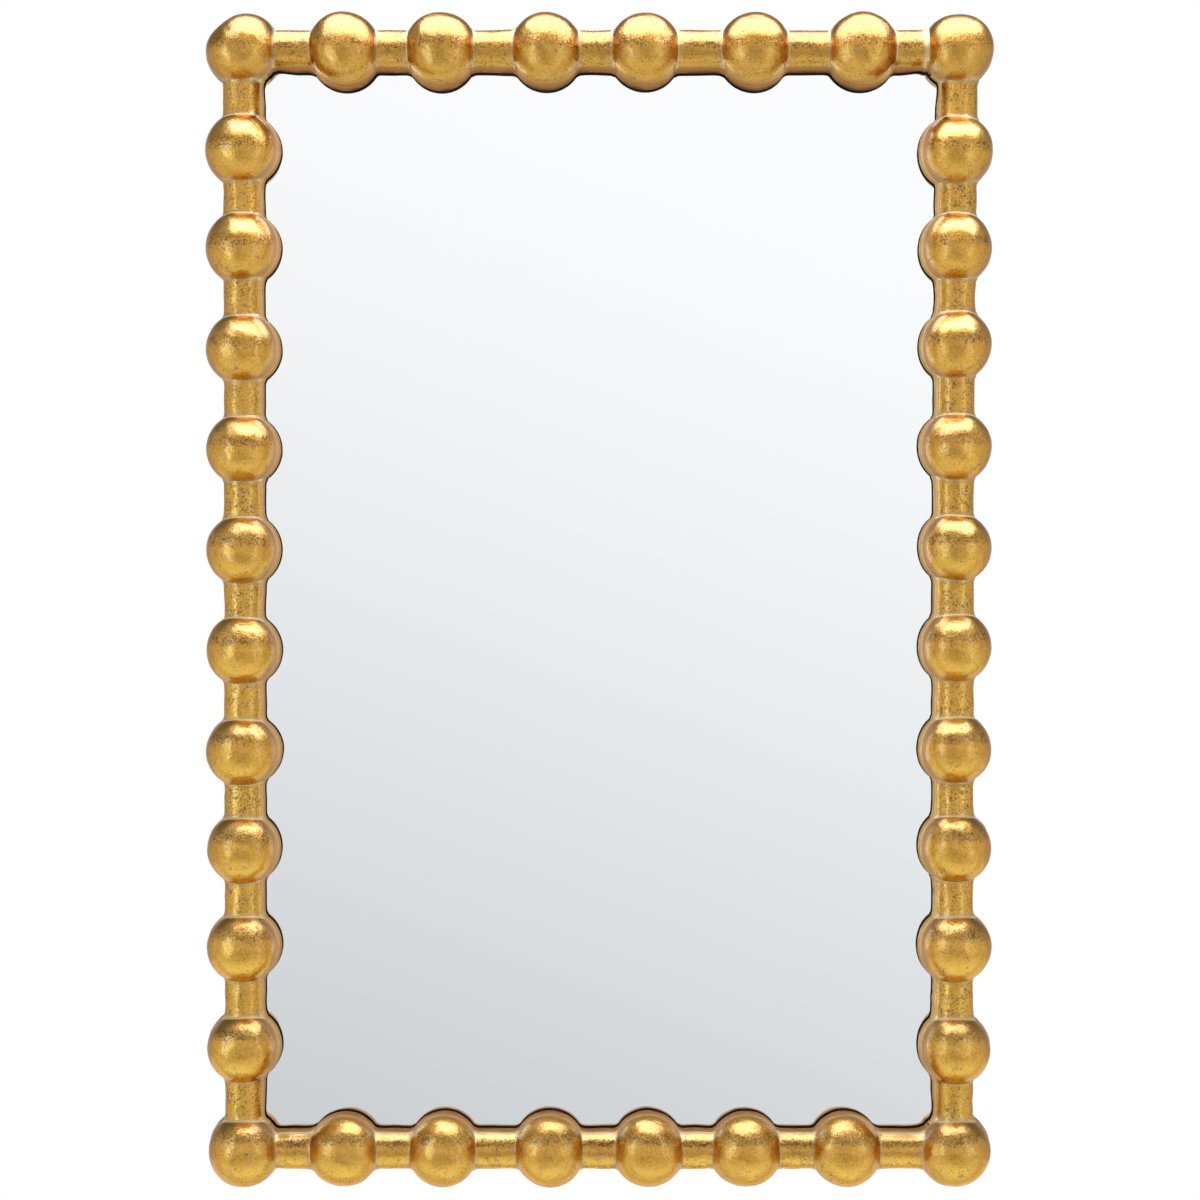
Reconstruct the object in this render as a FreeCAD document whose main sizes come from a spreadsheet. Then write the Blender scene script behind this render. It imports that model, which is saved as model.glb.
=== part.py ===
import FreeCAD, Part
import math
import os
import Sketcher
from FreeCAD import Placement, Rotation, Vector

# Wall mirror in a gilded frame of half balls and half-round rods.
#
# The front faces -Y and +Z is up.  The origin is the middle of the whole
# object.  From front to back: the balls and rods, the lip of the rails, the
# felt strips, the glass, the foam, the back board, and the wall bumpers.

# Driving dimensions in millimetres, each with what it measures
SIZES = (
    ("bead_dia", 56.0, "half ball across its flat back"),
    ("rod_dia", 28.5, "half-round rod across its flat back"),
    ("rod_rise", 11.0, "half-round rod, flat back to crest"),
    ("wide_rod_length", 23.2, "rod along the top and bottom, ball to ball"),
    ("tall_rod_length", 21.9, "rod down the sides, ball to ball"),
    ("glue_gap", 0.15, "between a rod's hollowed end and its ball"),
    ("wall_draft", 1.2, "how far a rail's side wall leans out over the lip"),
    ("lip_depth", 10.0, "wood in front of the strips and the glass"),
    ("glass_overlap", 8.0, "rebate under the rods' straight edge"),
    ("strip_thick", 4.5, "felt strip between lip and glass"),
    ("strip_width", 5.0, "felt strip across"),
    ("strip_gap", 0.3, "slack between strips and rebate"),
    ("glass_thick", 4.0, "mirror glass"),
    ("glass_gap", 1.0, "slack around the glass"),
    ("glass_arris", 0.5, "ground edge of the glass"),
    ("foam_thick", 1.5, "foam sheet behind the glass"),
    ("board_thick", 3.0, "back board"),
    ("board_gap", 0.5, "slack around the board and the foam"),
    ("bead_screw_dia", 4.0, "shank of the screw into a ball"),
    ("bead_screw_head", 8.0, "its countersunk head across"),
    ("bead_screw_sink", 2.2, "its countersunk head's height"),
    ("bead_screw_length", 38.0, "its whole length"),
    ("corner_screw_drop", 14.0, "corner ball's screw, off the mitre along the stile"),
    ("screw_clear", 0.1, "hole wall to screw"),
    ("plate_screw_dia", 3.0, "shank of the screws in braces, clips and straps"),
    ("plate_screw_head", 6.2, "their pan head across"),
    ("plate_screw_rise", 1.5, "their pan head's height"),
    ("plate_screw_length", 14.0, "their shank's length"),
    ("recess_length", 3.6, "cross recess, tip to tip"),
    ("recess_width", 0.8, "cross recess, one arm across"),
    ("recess_depth", 0.8, "cross recess, depth"),
    ("brace_leg", 50.0, "corner brace, from the corner ball's centre"),
    ("brace_width", 12.0, "corner brace, one leg across"),
    ("brace_thick", 1.5, "corner brace, sheet"),
    ("clip_length", 20.0, "board clip, along"),
    ("clip_width", 10.0, "board clip, across"),
    ("clip_thick", 1.2, "board clip, sheet"),
    ("clip_reach", 7.5, "board clip, over the board"),
    ("clip_corner", 2.0, "board clip, rounded corner"),
    ("bumper_dia", 14.0, "wall bumper across"),
    ("bumper_thick", 6.0, "wall bumper, height"),
    ("bumper_round", 1.5, "wall bumper, rounded rim"),
    ("bumper_shift", 12.0, "wall bumper, outward of the ball's screw"),
    ("ring_wire", 3.2, "hanging ring, wire across"),
    ("ring_width", 20.0, "hanging ring, inside, across"),
    ("ring_height", 14.0, "hanging ring, inside, bar to bow"),
    ("ring_corner", 2.6, "hanging ring, bend beside the bar"),
    ("ring_play", 0.05, "strap's loop to the ring's bar"),
    ("ring_rest_gap", 0.3, "bow of the hanging ring to its strap"),
    ("strap_width", 12.7, "hanger strap across"),
    ("strap_sheet", 1.2, "hanger strap, one layer"),
    ("strap_shoulder", 9.0, "hanger strap, from the bar to where it lies flat"),
    ("strap_hole_first", 24.0, "hanger strap, bar to the first hole"),
    ("strap_hole_pitch", 14.0, "hanger strap, hole to hole"),
    ("strap_end", 7.0, "hanger strap, past its last hole"),
    ("hanger_rise", 10.0, "ring's bar above the ball that hides it"),
    ("overrun", 2.0, "how far a cutting shape passes the wood"),
)

# How many rods lie along each side
WIDE_ROD_COUNT = 7
TALL_ROD_COUNT = 11

# Each ball stands a little off its even place, as a share of the pitch.
# The rows run left to right (+ to the right), the columns top to bottom (+ up).
TOP_ROW_SHARES = (0.003, -0.050, -0.016, -0.047, 0.025, 0.080)
BOTTOM_ROW_SHARES = (-0.010, -0.033, 0.013, -0.012, -0.054, -0.068)
LEFT_COLUMN_SHARES = (0.008, 0.029, 0.020, 0.019, 0.013, 0.013, 0.001, 0.023, 0.041, 0.036)
RIGHT_COLUMN_SHARES = (-0.012, 0.029, 0.056, 0.040, 0.036, 0.043, 0.025, 0.039, 0.041, 0.021)

# Rods that a board clip is screwed behind, counted along their side from 0
STILE_CLIP_INDICES = (1, 3, 5, 7, 9)
RAIL_CLIP_INDICES = (1, 3, 5)

# The ball, counted from the top, that a hanger is screwed behind, and those
# that a bumper is stuck behind
HANGER_BEAD_INDEX = 2
BUMPER_BEAD_INDICES = (1, 10)

# Holes of a corner brace, as shares of its leg
BRACE_HOLE_SHARES = (0.5, 0.86)

# Shape of a screw's head and point, as shares of its own sizes
HEAD_FLAT_SHARE = 0.6
HEAD_EDGE_SHARE = 0.45
POINT_SHARE = 0.16

# Distances that follow from the sizes
BEAD_R = "Sizes.bead_dia / 2"
ROD_R = "Sizes.rod_dia / 2"
ROD_ROUND = f"((({ROD_R}) ^ 2 + Sizes.rod_rise ^ 2) / (2 * Sizes.rod_rise))"
WIDE_PITCH = "(Sizes.bead_dia + Sizes.wide_rod_length)"
TALL_PITCH = "(Sizes.bead_dia + Sizes.tall_rod_length)"
CORNER_X = f"({WIDE_PITCH} * {WIDE_ROD_COUNT} / 2)"
CORNER_Z = f"({TALL_PITCH} * {TALL_ROD_COUNT} / 2)"
REBATE_X = f"({CORNER_X} - {ROD_R} + Sizes.glass_overlap)"
REBATE_Z = f"({CORNER_Z} - {ROD_R} + Sizes.glass_overlap)"
STACK = "(Sizes.strip_thick + Sizes.glass_thick + Sizes.foam_thick + Sizes.board_thick)"
RAIL_DEPTH = f"(Sizes.lip_depth + {STACK})"
FRONT_Y = f"(({BEAD_R} - {RAIL_DEPTH} - Sizes.bumper_thick) / 2)"
BACK_Y = f"({FRONT_Y} + {RAIL_DEPTH})"
LIP_Y = f"({FRONT_Y} + Sizes.lip_depth)"
BASE_R = f"({BEAD_R} + Sizes.wall_draft)"
BASE_HALF = f"({ROD_R} + Sizes.wall_draft)"
STRIP_SHIFT = "((Sizes.glass_overlap + Sizes.wall_draft) / 2)"
WIRE_R = "Sizes.ring_wire / 2"
LOOP_R = f"({WIRE_R} + Sizes.ring_play + Sizes.strap_sheet)"
RING_SPAN = "(Sizes.ring_width + Sizes.ring_wire)"
RING_REACH = "(Sizes.ring_height + Sizes.ring_wire)"
RING_TILT = (
    f"asin((2 * Sizes.strap_sheet + Sizes.ring_rest_gap + {WIRE_R} - {LOOP_R}) / {RING_REACH})"
)

FACING_FRONT = Rotation(Vector(1, 0, 0), 90)
ALONG_X = Rotation(Vector(0, 1, 0), 90)

doc = FreeCAD.newDocument("BobbinMirror")


def make_sheet():
    """Write the driving dimensions into the spreadsheet, one row each."""
    sheet = doc.addObject("Spreadsheet::Sheet", "Sizes")
    for row, (alias, value, meaning) in enumerate(SIZES, start=1):
        sheet.set(f"A{row}", meaning)
        sheet.set(f"B{row}", str(value))
        sheet.setAlias(f"B{row}", alias)
    doc.recompute()
    return sheet


sheet = make_sheet()


def bind(thing, **sizes):
    """Bind each named property of a thing to an expression."""
    for name, expression in sizes.items():
        thing.setExpression(name, expression)
    return thing


def place(thing, x="0", y="0", z="0", turn=None):
    """Put a thing at the given distances, turned about its own origin."""
    if turn is not None:
        thing.Placement = Placement(Vector(), turn)
    for axis, distance in zip("xyz", (x, y, z)):
        thing.setExpression(f"Placement.Base.{axis}", distance)
    return thing


def solid(kind, label, **sizes):
    """Make a loose primitive, such as a box or a cylinder."""
    thing = doc.addObject(f"Part::{kind}", label)
    thing.Label = label
    return bind(thing, **sizes)


def combine(kind, label, things):
    """Join things in one compound or fusion."""
    whole = doc.addObject(f"Part::{kind}", label)
    whole.Label = label
    if kind == "Compound":
        whole.Links = things
    else:
        whole.Shapes = things
    return whole


def cut(label, base, tool):
    """Cut one thing out of another."""
    rest = doc.addObject("Part::Cut", label)
    rest.Label = label
    rest.Base = base
    rest.Tool = tool
    return rest


def make_body(label):
    """Start an empty body."""
    body = doc.addObject("PartDesign::Body", label)
    body.Label = label
    return body


def feature(body, kind, name, turn=None, at=("0", "0", "0"), **sizes):
    """Add a primitive to a body, or take one away from it."""
    thing = body.newObject(f"PartDesign::{kind}", name)
    bind(thing, **sizes)
    return place(thing, *at, turn=turn)


def start_sketch(body, name, plane, offset=None):
    """Open a sketch on one of the body's own origin planes."""
    sketch = body.newObject("Sketcher::SketchObject", name)
    support = [item for item in body.Origin.OriginFeatures if item.Role == plane][0]
    sketch.AttachmentSupport = (support, "")
    sketch.MapMode = "FlatFace"
    if offset is not None:
        sketch.setExpression("AttachmentOffset.Base.z", offset)
    return sketch


def hold(sketch, kind, geometry, point, distance):
    """Hold one point of a sketch at a distance from an axis."""
    if distance == "0":
        axis = -2 if kind == "DistanceX" else -1
        sketch.addConstraint(Sketcher.Constraint("PointOnObject", geometry, point, axis))
        return
    value = float(sketch.evalExpression(distance))
    index = sketch.addConstraint(Sketcher.Constraint(kind, -1, 1, geometry, point, value))
    sketch.setExpression(f"Constraints[{index}]", distance)


def draw_outline(sketch, corners):
    """Draw a closed outline of straight lines with every corner held."""
    count = len(corners)
    first = sketch.GeometryCount
    spots = [Vector(*(float(sketch.evalExpression(way)) for way in corner), 0) for corner in corners]
    for index in range(count):
        line = Part.LineSegment(spots[index], spots[(index + 1) % count])
        sketch.addGeometry(line)
    for index in range(count):
        following = first + (index + 1) % count
        sketch.addConstraint(Sketcher.Constraint("Coincident", first + index, 2, following, 1))
    for index, (across, up) in enumerate(corners):
        hold(sketch, "DistanceX", first + index, 1, across)
        hold(sketch, "DistanceY", first + index, 1, up)
    return sketch


def draw_circle(sketch, across, up, radius):
    """Draw a circle with its centre and its radius held."""
    centre = Vector(*(float(sketch.evalExpression(way)) for way in (across, up)), 0)
    size = float(sketch.evalExpression(radius))
    index = sketch.addGeometry(Part.Circle(centre, Vector(0, 0, 1), size))
    hold(sketch, "DistanceX", index, 3, across)
    hold(sketch, "DistanceY", index, 3, up)
    constraint = sketch.addConstraint(Sketcher.Constraint("Radius", index, size))
    sketch.setExpression(f"Constraints[{constraint}]", radius)
    return sketch


def pad(body, name, sketch, length, reverse=False):
    """Raise a sketch into a solid."""
    raised = body.newObject("PartDesign::Pad", name)
    raised.Profile = sketch
    raised.Reversed = reverse
    return bind(raised, Length=length)


def turn_profile(body, name, sketch):
    """Turn a sketch a full circle about its upright axis."""
    turned = body.newObject("PartDesign::Revolution", name)
    turned.Profile = sketch
    turned.ReferenceAxis = (sketch, ["V_Axis"])
    turned.Angle = 360
    return turned


def rectangle(half_x, half_z):
    """Corners of an upright rectangle about the middle."""
    return (
        (f"-{half_x}", f"-{half_z}"),
        (half_x, f"-{half_z}"),
        (half_x, half_z),
        (f"-{half_x}", half_z),
    )


def repeat(label, master, places):
    """Gather linked copies of a master, each at its own place and turn."""
    copies = []
    for index, (x, y, z, turn) in enumerate(places, start=1):
        copy = doc.addObject("App::Link", f"{label}_{index}")
        copy.LinkedObject = master
        copies.append(place(copy, x, y, z, turn=turn))
    return combine("Compound", label, copies)


# Places of the balls along the sides

def row_places(shares):
    """Expressions for x along a row, corner to corner."""
    offsets = (0,) + shares + (0,)
    return [f"(-{CORNER_X} + {WIDE_PITCH} * ({index} + {share}))" for index, share in enumerate(offsets)]


def column_places(shares):
    """Expressions for z down a column, corner to corner."""
    offsets = (0,) + shares + (0,)
    return [f"({CORNER_Z} - {TALL_PITCH} * ({index} - {share}))" for index, share in enumerate(offsets)]


TOP_X = row_places(TOP_ROW_SHARES)
BOTTOM_X = row_places(BOTTOM_ROW_SHARES)
LEFT_Z = column_places(LEFT_COLUMN_SHARES)
RIGHT_Z = column_places(RIGHT_COLUMN_SHARES)


class Side:
    """One side of the frame: its row of balls, and how its parts are named."""

    def __init__(self, name, wood, lies_along, sign, spots):
        self.name = name
        self.wood = wood
        self.is_row = lies_along == "x"
        self.sign = sign
        self.spots = spots

    def point(self, along, outward="0"):
        """The x and z of a point that lies along the side, moved outward."""
        corner = CORNER_Z if self.is_row else CORNER_X
        across = f"({self.sign} * ({corner} + {outward}))"
        return (along, across) if self.is_row else (across, along)

    def mid_rod(self, rod):
        """Halfway between the two balls at a rod's ends."""
        return f"(({self.spots[rod]} + {self.spots[rod + 1]}) / 2)"


TOP = Side("top", "rail_top", "x", 1, TOP_X)
BOTTOM = Side("bottom", "rail_bottom", "x", -1, BOTTOM_X)
LEFT = Side("left", "stile_left", "z", -1, LEFT_Z)
RIGHT = Side("right", "stile_right", "z", 1, RIGHT_Z)
SIDES = (TOP, BOTTOM, LEFT, RIGHT)
CORNERS = (("top_left", -1, 1), ("top_right", 1, 1), ("bottom_left", -1, -1), ("bottom_right", 1, -1))


def bead_screw_places():
    """Where every ball's screw goes: behind its centre, or off a corner's mitre."""
    places = []
    for side in SIDES:
        for spot in side.spots[1:-1]:
            places.append(side.point(spot))
    for _, right, up in CORNERS:
        places.append((f"({right} * {CORNER_X})", f"({up} * ({CORNER_Z} - Sizes.corner_screw_drop))"))
    return places


# Balls and rods

def make_bead(label, x, z, screw_up="0"):
    """A half ball, flat at the back, bored for its screw."""
    body = make_body(label)
    dome = feature(body, "AdditiveSphere", f"{label}_dome", turn=FACING_FRONT, Radius=BEAD_R)
    dome.Angle1 = 0
    dome.Angle2 = 90
    bore = feature(
        body,
        "SubtractiveCylinder",
        f"{label}_bore",
        turn=FACING_FRONT,
        at=("0", "0", screw_up),
        Radius="Sizes.bead_screw_dia / 2 + Sizes.screw_clear",
        Height=f"Sizes.bead_screw_length - {RAIL_DEPTH} + Sizes.screw_clear",
    )
    body.Tip = bore
    return place(body, x, FRONT_Y, z)


def make_beads():
    """Every ball of the frame, the corners first."""
    beads = []
    for name, right, up in CORNERS:
        drop = f"({-up} * Sizes.corner_screw_drop)"
        x = f"({right} * {CORNER_X})"
        z = f"({up} * {CORNER_Z})"
        beads.append(make_bead(f"bead_corner_{name}", x, z, drop))
    for side in SIDES:
        for index, spot in enumerate(side.spots[1:-1], start=1):
            beads.append(make_bead(f"bead_{side.name}_{index}", *side.point(spot)))
    return beads


def make_rods(side):
    """A bar, part of a round planed flat, from corner to corner and hollowed out round each ball."""
    corner = CORNER_X if side.is_row else CORNER_Z
    sunk = f"({ROD_ROUND} - Sizes.rod_rise)"
    end = f"({corner} + Sizes.overrun)"
    edge = f"({ROD_ROUND} + Sizes.overrun)"
    whole = solid("Cylinder", f"round_{side.name}", Radius=ROD_ROUND, Height=f"2 * {corner}")
    whole.Angle = 180
    waste = solid("Box", f"waste_{side.name}", Width=f"{sunk} + Sizes.overrun")
    axis_y = f"({FRONT_Y} + {sunk})"
    if side.is_row:
        turn = ALONG_X.multiply(Rotation(Vector(0, 0, 1), 180))
        start = (f"-{corner}", axis_y, f"({side.sign} * {CORNER_Z})")
        bind(waste, Length=f"2 * {end}", Height=f"2 * {edge}")
        waste_start = (f"-{end}", FRONT_Y, f"({side.sign} * {CORNER_Z} - {edge})")
    else:
        turn = Rotation(Vector(0, 0, 1), 180)
        start = (f"({side.sign} * {CORNER_X})", axis_y, f"-{corner}")
        bind(waste, Length=f"2 * {edge}", Height=f"2 * {end}")
        waste_start = (f"({side.sign} * {CORNER_X} - {edge})", FRONT_Y, f"-{end}")
    place(whole, *start, turn=turn)
    bar = cut(f"bar_{side.name}", whole, place(waste, *waste_start))
    hollows = []
    for index, spot in enumerate(side.spots):
        hollow = solid("Sphere", f"hollow_{side.name}_{index}", Radius=f"{BEAD_R} + Sizes.glue_gap")
        x, z = side.point(spot)
        hollows.append(place(hollow, x, FRONT_Y, z))
    return cut(f"rods_{side.name}", bar, combine("Compound", f"hollows_{side.name}", hollows))


# Rails and stiles

def make_rail_blank(side):
    """A scalloped board: leaning walls over the lip, upright walls behind it."""
    parts = []
    for index, spot in enumerate(side.spots):
        x, z = side.point(spot)
        lip = solid(
            "Cone",
            f"scallop_lip_{side.name}_{index}",
            Radius1=BASE_R,
            Radius2=BEAD_R,
            Height="Sizes.lip_depth",
        )
        parts.append(place(lip, x, LIP_Y, z, turn=FACING_FRONT))
        base = solid("Cylinder", f"scallop_base_{side.name}_{index}", Radius=BASE_R, Height=STACK)
        parts.append(place(base, x, BACK_Y, z, turn=FACING_FRONT))
    corner = CORNER_X if side.is_row else CORNER_Z
    lip = solid(
        "Wedge",
        f"bar_lip_{side.name}",
        Ymin="0",
        Ymax="Sizes.lip_depth",
        Xmin=f"-{BASE_HALF}",
        Xmax=BASE_HALF,
        X2min=f"-{ROD_R}",
        X2max=ROD_R,
        Zmin=f"-{corner}",
        Zmax=corner,
        Z2min=f"-{corner}",
        Z2max=corner,
    )
    base = solid("Wedge", f"bar_base_{side.name}")
    bind(base, Ymin=f"-{STACK}", Ymax="0", Xmin=f"-{BASE_HALF}", Xmax=BASE_HALF, X2min=f"-{BASE_HALF}")
    bind(base, X2max=BASE_HALF, Zmin=f"-{corner}", Zmax=corner, Z2min=f"-{corner}", Z2max=corner)
    turn = Rotation(Vector(0, 0, 1), 180)
    if side.is_row:
        turn = ALONG_X.multiply(turn)
    x, z = side.point("0")
    for bar in (lip, base):
        parts.append(place(bar, x, LIP_Y, z, turn=turn))
    return combine("MultiFuse", f"blank_{side.wood}", parts)


def make_mitre_cutters(side):
    """Two boxes, one at each end, whose faces lie in the mitres."""
    reach = "(Sizes.bead_dia + Sizes.overrun)"
    cutters = []
    for end, right, up in CORNERS:
        if (up if side.is_row else right) != side.sign:
            continue
        angle = math.degrees(math.atan2(-right, up)) + (180 if side.is_row else 0)
        turn = Rotation(Vector(0, 1, 0), angle)
        along = turn.multVec(Vector(1, 0, 0))
        box = solid(
            "Box",
            f"mitre_{side.wood}_{end}",
            Length=f"2 * {reach}",
            Width=f"{RAIL_DEPTH} + 2 * Sizes.overrun",
            Height=reach,
        )
        x = f"{right} * {CORNER_X} - {reach} * {along.x}"
        z = f"{up} * {CORNER_Z} - {reach} * {along.z}"
        cutters.append(place(box, x, f"{FRONT_Y} - Sizes.overrun", z, turn=turn))
    return combine("Compound", f"mitres_{side.wood}", cutters)


def make_rebate():
    """The hollow that the strips, the glass, the foam and the board lie in."""
    box = solid(
        "Box",
        "rebate",
        Length=f"2 * {REBATE_X}",
        Width=f"{STACK} + Sizes.overrun",
        Height=f"2 * {REBATE_Z}",
    )
    return place(box, f"-{REBATE_X}", LIP_Y, f"-{REBATE_Z}")


def make_rail(side, rebate, bead_holes, plate_holes):
    """One side's board, mitred, rebated and bored."""
    mitred = cut(f"mitred_{side.wood}", make_rail_blank(side), make_mitre_cutters(side))
    rebated = cut(f"rebated_{side.wood}", mitred, rebate)
    bored = cut(f"bored_{side.wood}", rebated, bead_holes)
    return cut(side.wood, bored, plate_holes)


# Screws, and the holes that they need

def make_bead_screw():
    """A countersunk wood screw, its head's face at y = 0."""
    head = "Sizes.bead_screw_head / 2"
    shank = "Sizes.bead_screw_dia / 2"
    length = "Sizes.bead_screw_length"
    return make_turned_screw(
        "bead_screw",
        (
            ("0", "0"),
            (head, "0"),
            (shank, "-Sizes.bead_screw_sink"),
            (shank, f"-{length} * (1 - {POINT_SHARE})"),
            ("0", f"-{length}"),
        ),
        top="0",
    )


def make_plate_screw():
    """A pan head wood screw, the underside of its head at y = 0."""
    head = "Sizes.plate_screw_head / 2"
    rise = "Sizes.plate_screw_rise"
    shank = "Sizes.plate_screw_dia / 2"
    length = "Sizes.plate_screw_length"
    return make_turned_screw(
        "plate_screw",
        (
            ("0", rise),
            (f"{head} * {HEAD_FLAT_SHARE}", rise),
            (head, f"{rise} * {HEAD_EDGE_SHARE}"),
            (head, "0"),
            (shank, "0"),
            (shank, f"-{length} * (1 - {POINT_SHARE})"),
            ("0", f"-{length}"),
        ),
        top=rise,
    )


def make_turned_screw(label, profile, top):
    """A turned screw with a cross recess sunk from its top."""
    body = make_body(label)
    sketch = draw_outline(start_sketch(body, f"{label}_profile", "XY_Plane"), profile)
    turn_profile(body, f"{label}_turned", sketch)
    floor = f"{top} - Sizes.recess_depth"
    long_half = "-Sizes.recess_length / 2"
    short_half = "-Sizes.recess_width / 2"
    arms = (("Sizes.recess_length", "Sizes.recess_width", long_half, short_half),
            ("Sizes.recess_width", "Sizes.recess_length", short_half, long_half))
    for index, (length, height, x, z) in enumerate(arms):
        arm = feature(
            body,
            "SubtractiveBox",
            f"{label}_recess_{index}",
            at=(x, floor, z),
            Length=length,
            Width="Sizes.recess_depth + Sizes.overrun",
            Height=height,
        )
        body.Tip = arm
    return body


def make_hole_cutter(label, profile):
    """A turned shape that bores the hole for a screw."""
    body = make_body(label)
    sketch = draw_outline(start_sketch(body, f"{label}_profile", "XY_Plane"), profile)
    turn_profile(body, f"{label}_turned", sketch)
    return body


def make_bead_hole_cutter():
    """Through the wood behind a ball, with a countersink at the back."""
    head = "(Sizes.bead_screw_head / 2 + Sizes.screw_clear)"
    shank = "(Sizes.bead_screw_dia / 2 + Sizes.screw_clear)"
    front = f"-({RAIL_DEPTH} + Sizes.overrun)"
    sink = "-(Sizes.bead_screw_sink)"
    profile = (("0", "Sizes.overrun"), (head, "Sizes.overrun"), (head, "0"),
               (shank, sink), (shank, front), ("0", front))
    return make_hole_cutter("bead_hole", profile)


def make_plate_hole_cutter():
    """A blind hole in the wood for a plate's screw."""
    shank = "(Sizes.plate_screw_dia / 2 + Sizes.screw_clear)"
    front = "-(Sizes.plate_screw_length + Sizes.screw_clear)"
    profile = (("0", "Sizes.overrun"), (shank, "Sizes.overrun"), (shank, front), ("0", front))
    return make_hole_cutter("plate_hole", profile)


# What the rebate holds

def make_strips():
    """Four felt strips under the lip: two full width, two between them."""
    outer_x = f"({REBATE_X} - Sizes.strip_gap)"
    outer_z = f"({REBATE_Z} - Sizes.strip_gap)"
    wide = f"(Sizes.strip_width - Sizes.strip_gap)"
    strips = []
    for name, up in (("top", 1), ("bottom", -1)):
        strip = solid("Box", f"strip_{name}", Length=f"2 * {outer_x}", Width="Sizes.strip_thick", Height=wide)
        low = f"{outer_z} - {wide}" if up > 0 else f"-{outer_z}"
        strips.append(place(strip, f"-{outer_x}", LIP_Y, low))
    for name, right in (("left", -1), ("right", 1)):
        height = f"2 * ({outer_z} - {wide})"
        strip = solid("Box", f"strip_{name}", Length=wide, Width="Sizes.strip_thick", Height=height)
        low = f"{outer_x} - {wide}" if right > 0 else f"-{outer_x}"
        strips.append(place(strip, low, LIP_Y, f"-({outer_z} - {wide})"))
    return combine("Compound", "felt_strips", strips)


def make_sheet_part(label, gap, thickness, y):
    """A flat rectangular sheet that fills the rebate but for a gap all round."""
    body = make_body(label)
    corners = rectangle(f"({REBATE_X} - {gap})", f"({REBATE_Z} - {gap})")
    sketch = draw_outline(start_sketch(body, f"{label}_outline", "XZ_Plane"), corners)
    pad(body, f"{label}_sheet", sketch, thickness, reverse=True)
    return place(body, "0", y, "0")


def make_glass():
    """The mirror glass, its long edges ground."""
    body = make_sheet_part("mirror_glass", "Sizes.glass_gap", "Sizes.glass_thick", f"({LIP_Y} + Sizes.strip_thick)")
    doc.recompute()
    sheet_feature = body.Tip
    arris = body.newObject("PartDesign::Chamfer", "glass_arris")
    arris.Base = (sheet_feature, [face_name(sheet_feature.Shape, -1), face_name(sheet_feature.Shape, 1)])
    bind(arris, Size="Sizes.glass_arris")
    body.Tip = arris
    return body


def face_name(shape, way):
    """The name of the flat face that looks along Y, to the front or the back."""
    for index, face in enumerate(shape.Faces, start=1):
        if face.normalAt(0, 0).y * way > 0.9:
            return f"Face{index}"
    raise ValueError("no such face")


# Hardware on the back

def make_brace_master():
    """An L-shaped plate for the top right corner, from the ball's centre."""
    body = make_body("brace")
    half = "Sizes.brace_width / 2"
    near = f"({STRIP_SHIFT} + {half})"
    far = f"({STRIP_SHIFT} - {half})"
    leg = "-Sizes.brace_leg"
    outline = ((near, near), (near, leg), (far, leg), (far, far), (leg, far), (leg, near))
    sketch = draw_outline(start_sketch(body, "brace_outline", "XZ_Plane"), outline)
    pad(body, "brace_plate", sketch, "Sizes.brace_thick", reverse=True)
    for index, (x, z) in enumerate(brace_holes()):
        bore_plate(body, f"brace_hole_{index}", x, z, "Sizes.brace_thick")
    return body


def brace_holes():
    """Holes along both legs, from the ball's centre, before any turn."""
    spots = []
    for share in BRACE_HOLE_SHARES:
        spots.append((STRIP_SHIFT, f"(-Sizes.brace_leg * {share})"))
        spots.append((f"(-Sizes.brace_leg * {share})", STRIP_SHIFT))
    return spots


def bore_plate(body, name, x, z, thickness, front="0"):
    """A screw hole straight through a plate."""
    bore = feature(
        body,
        "SubtractiveCylinder",
        name,
        turn=FACING_FRONT,
        at=(x, f"{front} + {thickness} + Sizes.overrun", z),
        Radius="Sizes.plate_screw_dia / 2 + Sizes.screw_clear",
        Height=f"{thickness} + 2 * Sizes.overrun",
    )
    body.Tip = bore
    return bore


def make_clip_master():
    """A flat clip that reaches over the board, from the edge of the rebate."""
    body = make_body("clip")
    inner = "-Sizes.clip_reach"
    outer = "(Sizes.clip_length - Sizes.clip_reach)"
    half = "Sizes.clip_width / 2"
    outline = ((inner, f"-{half}"), (outer, f"-{half}"), (outer, half), (inner, half))
    sketch = draw_outline(start_sketch(body, "clip_outline", "XZ_Plane"), outline)
    plate = pad(body, "clip_plate", sketch, "Sizes.clip_thick", reverse=True)
    doc.recompute()
    edges = [f"Edge{index}" for index, edge in enumerate(plate.Shape.Edges, start=1)
             if abs(edge.tangentAt(edge.FirstParameter).y) > 0.9]
    rounded = body.newObject("PartDesign::Fillet", "clip_corners")
    rounded.Base = (plate, edges)
    bind(rounded, Radius="Sizes.clip_corner")
    body.Tip = rounded
    bore_plate(body, "clip_hole", f"({clip_hole_shift()})", "0", "Sizes.clip_thick")
    return body


def clip_hole_shift():
    """From the edge of the rebate to the clip's screw, under the rod's axis."""
    return f"{ROD_R} - Sizes.glass_overlap"


def clip_spots():
    """Where each clip sits on the edge of the rebate, and its turn about Y."""
    spots = []
    for side in SIDES:
        rods = RAIL_CLIP_INDICES if side.is_row else STILE_CLIP_INDICES
        for rod in rods:
            x, z = side.point(side.mid_rod(rod), f"(Sizes.glass_overlap - {ROD_R})")
            hole_x, hole_z = side.point(side.mid_rod(rod))
            angle = {"right": 0, "top": -90, "left": 180, "bottom": 90}[side.name]
            spots.append(((x, z), (hole_x, hole_z), Rotation(Vector(0, 1, 0), angle)))
    return spots


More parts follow.
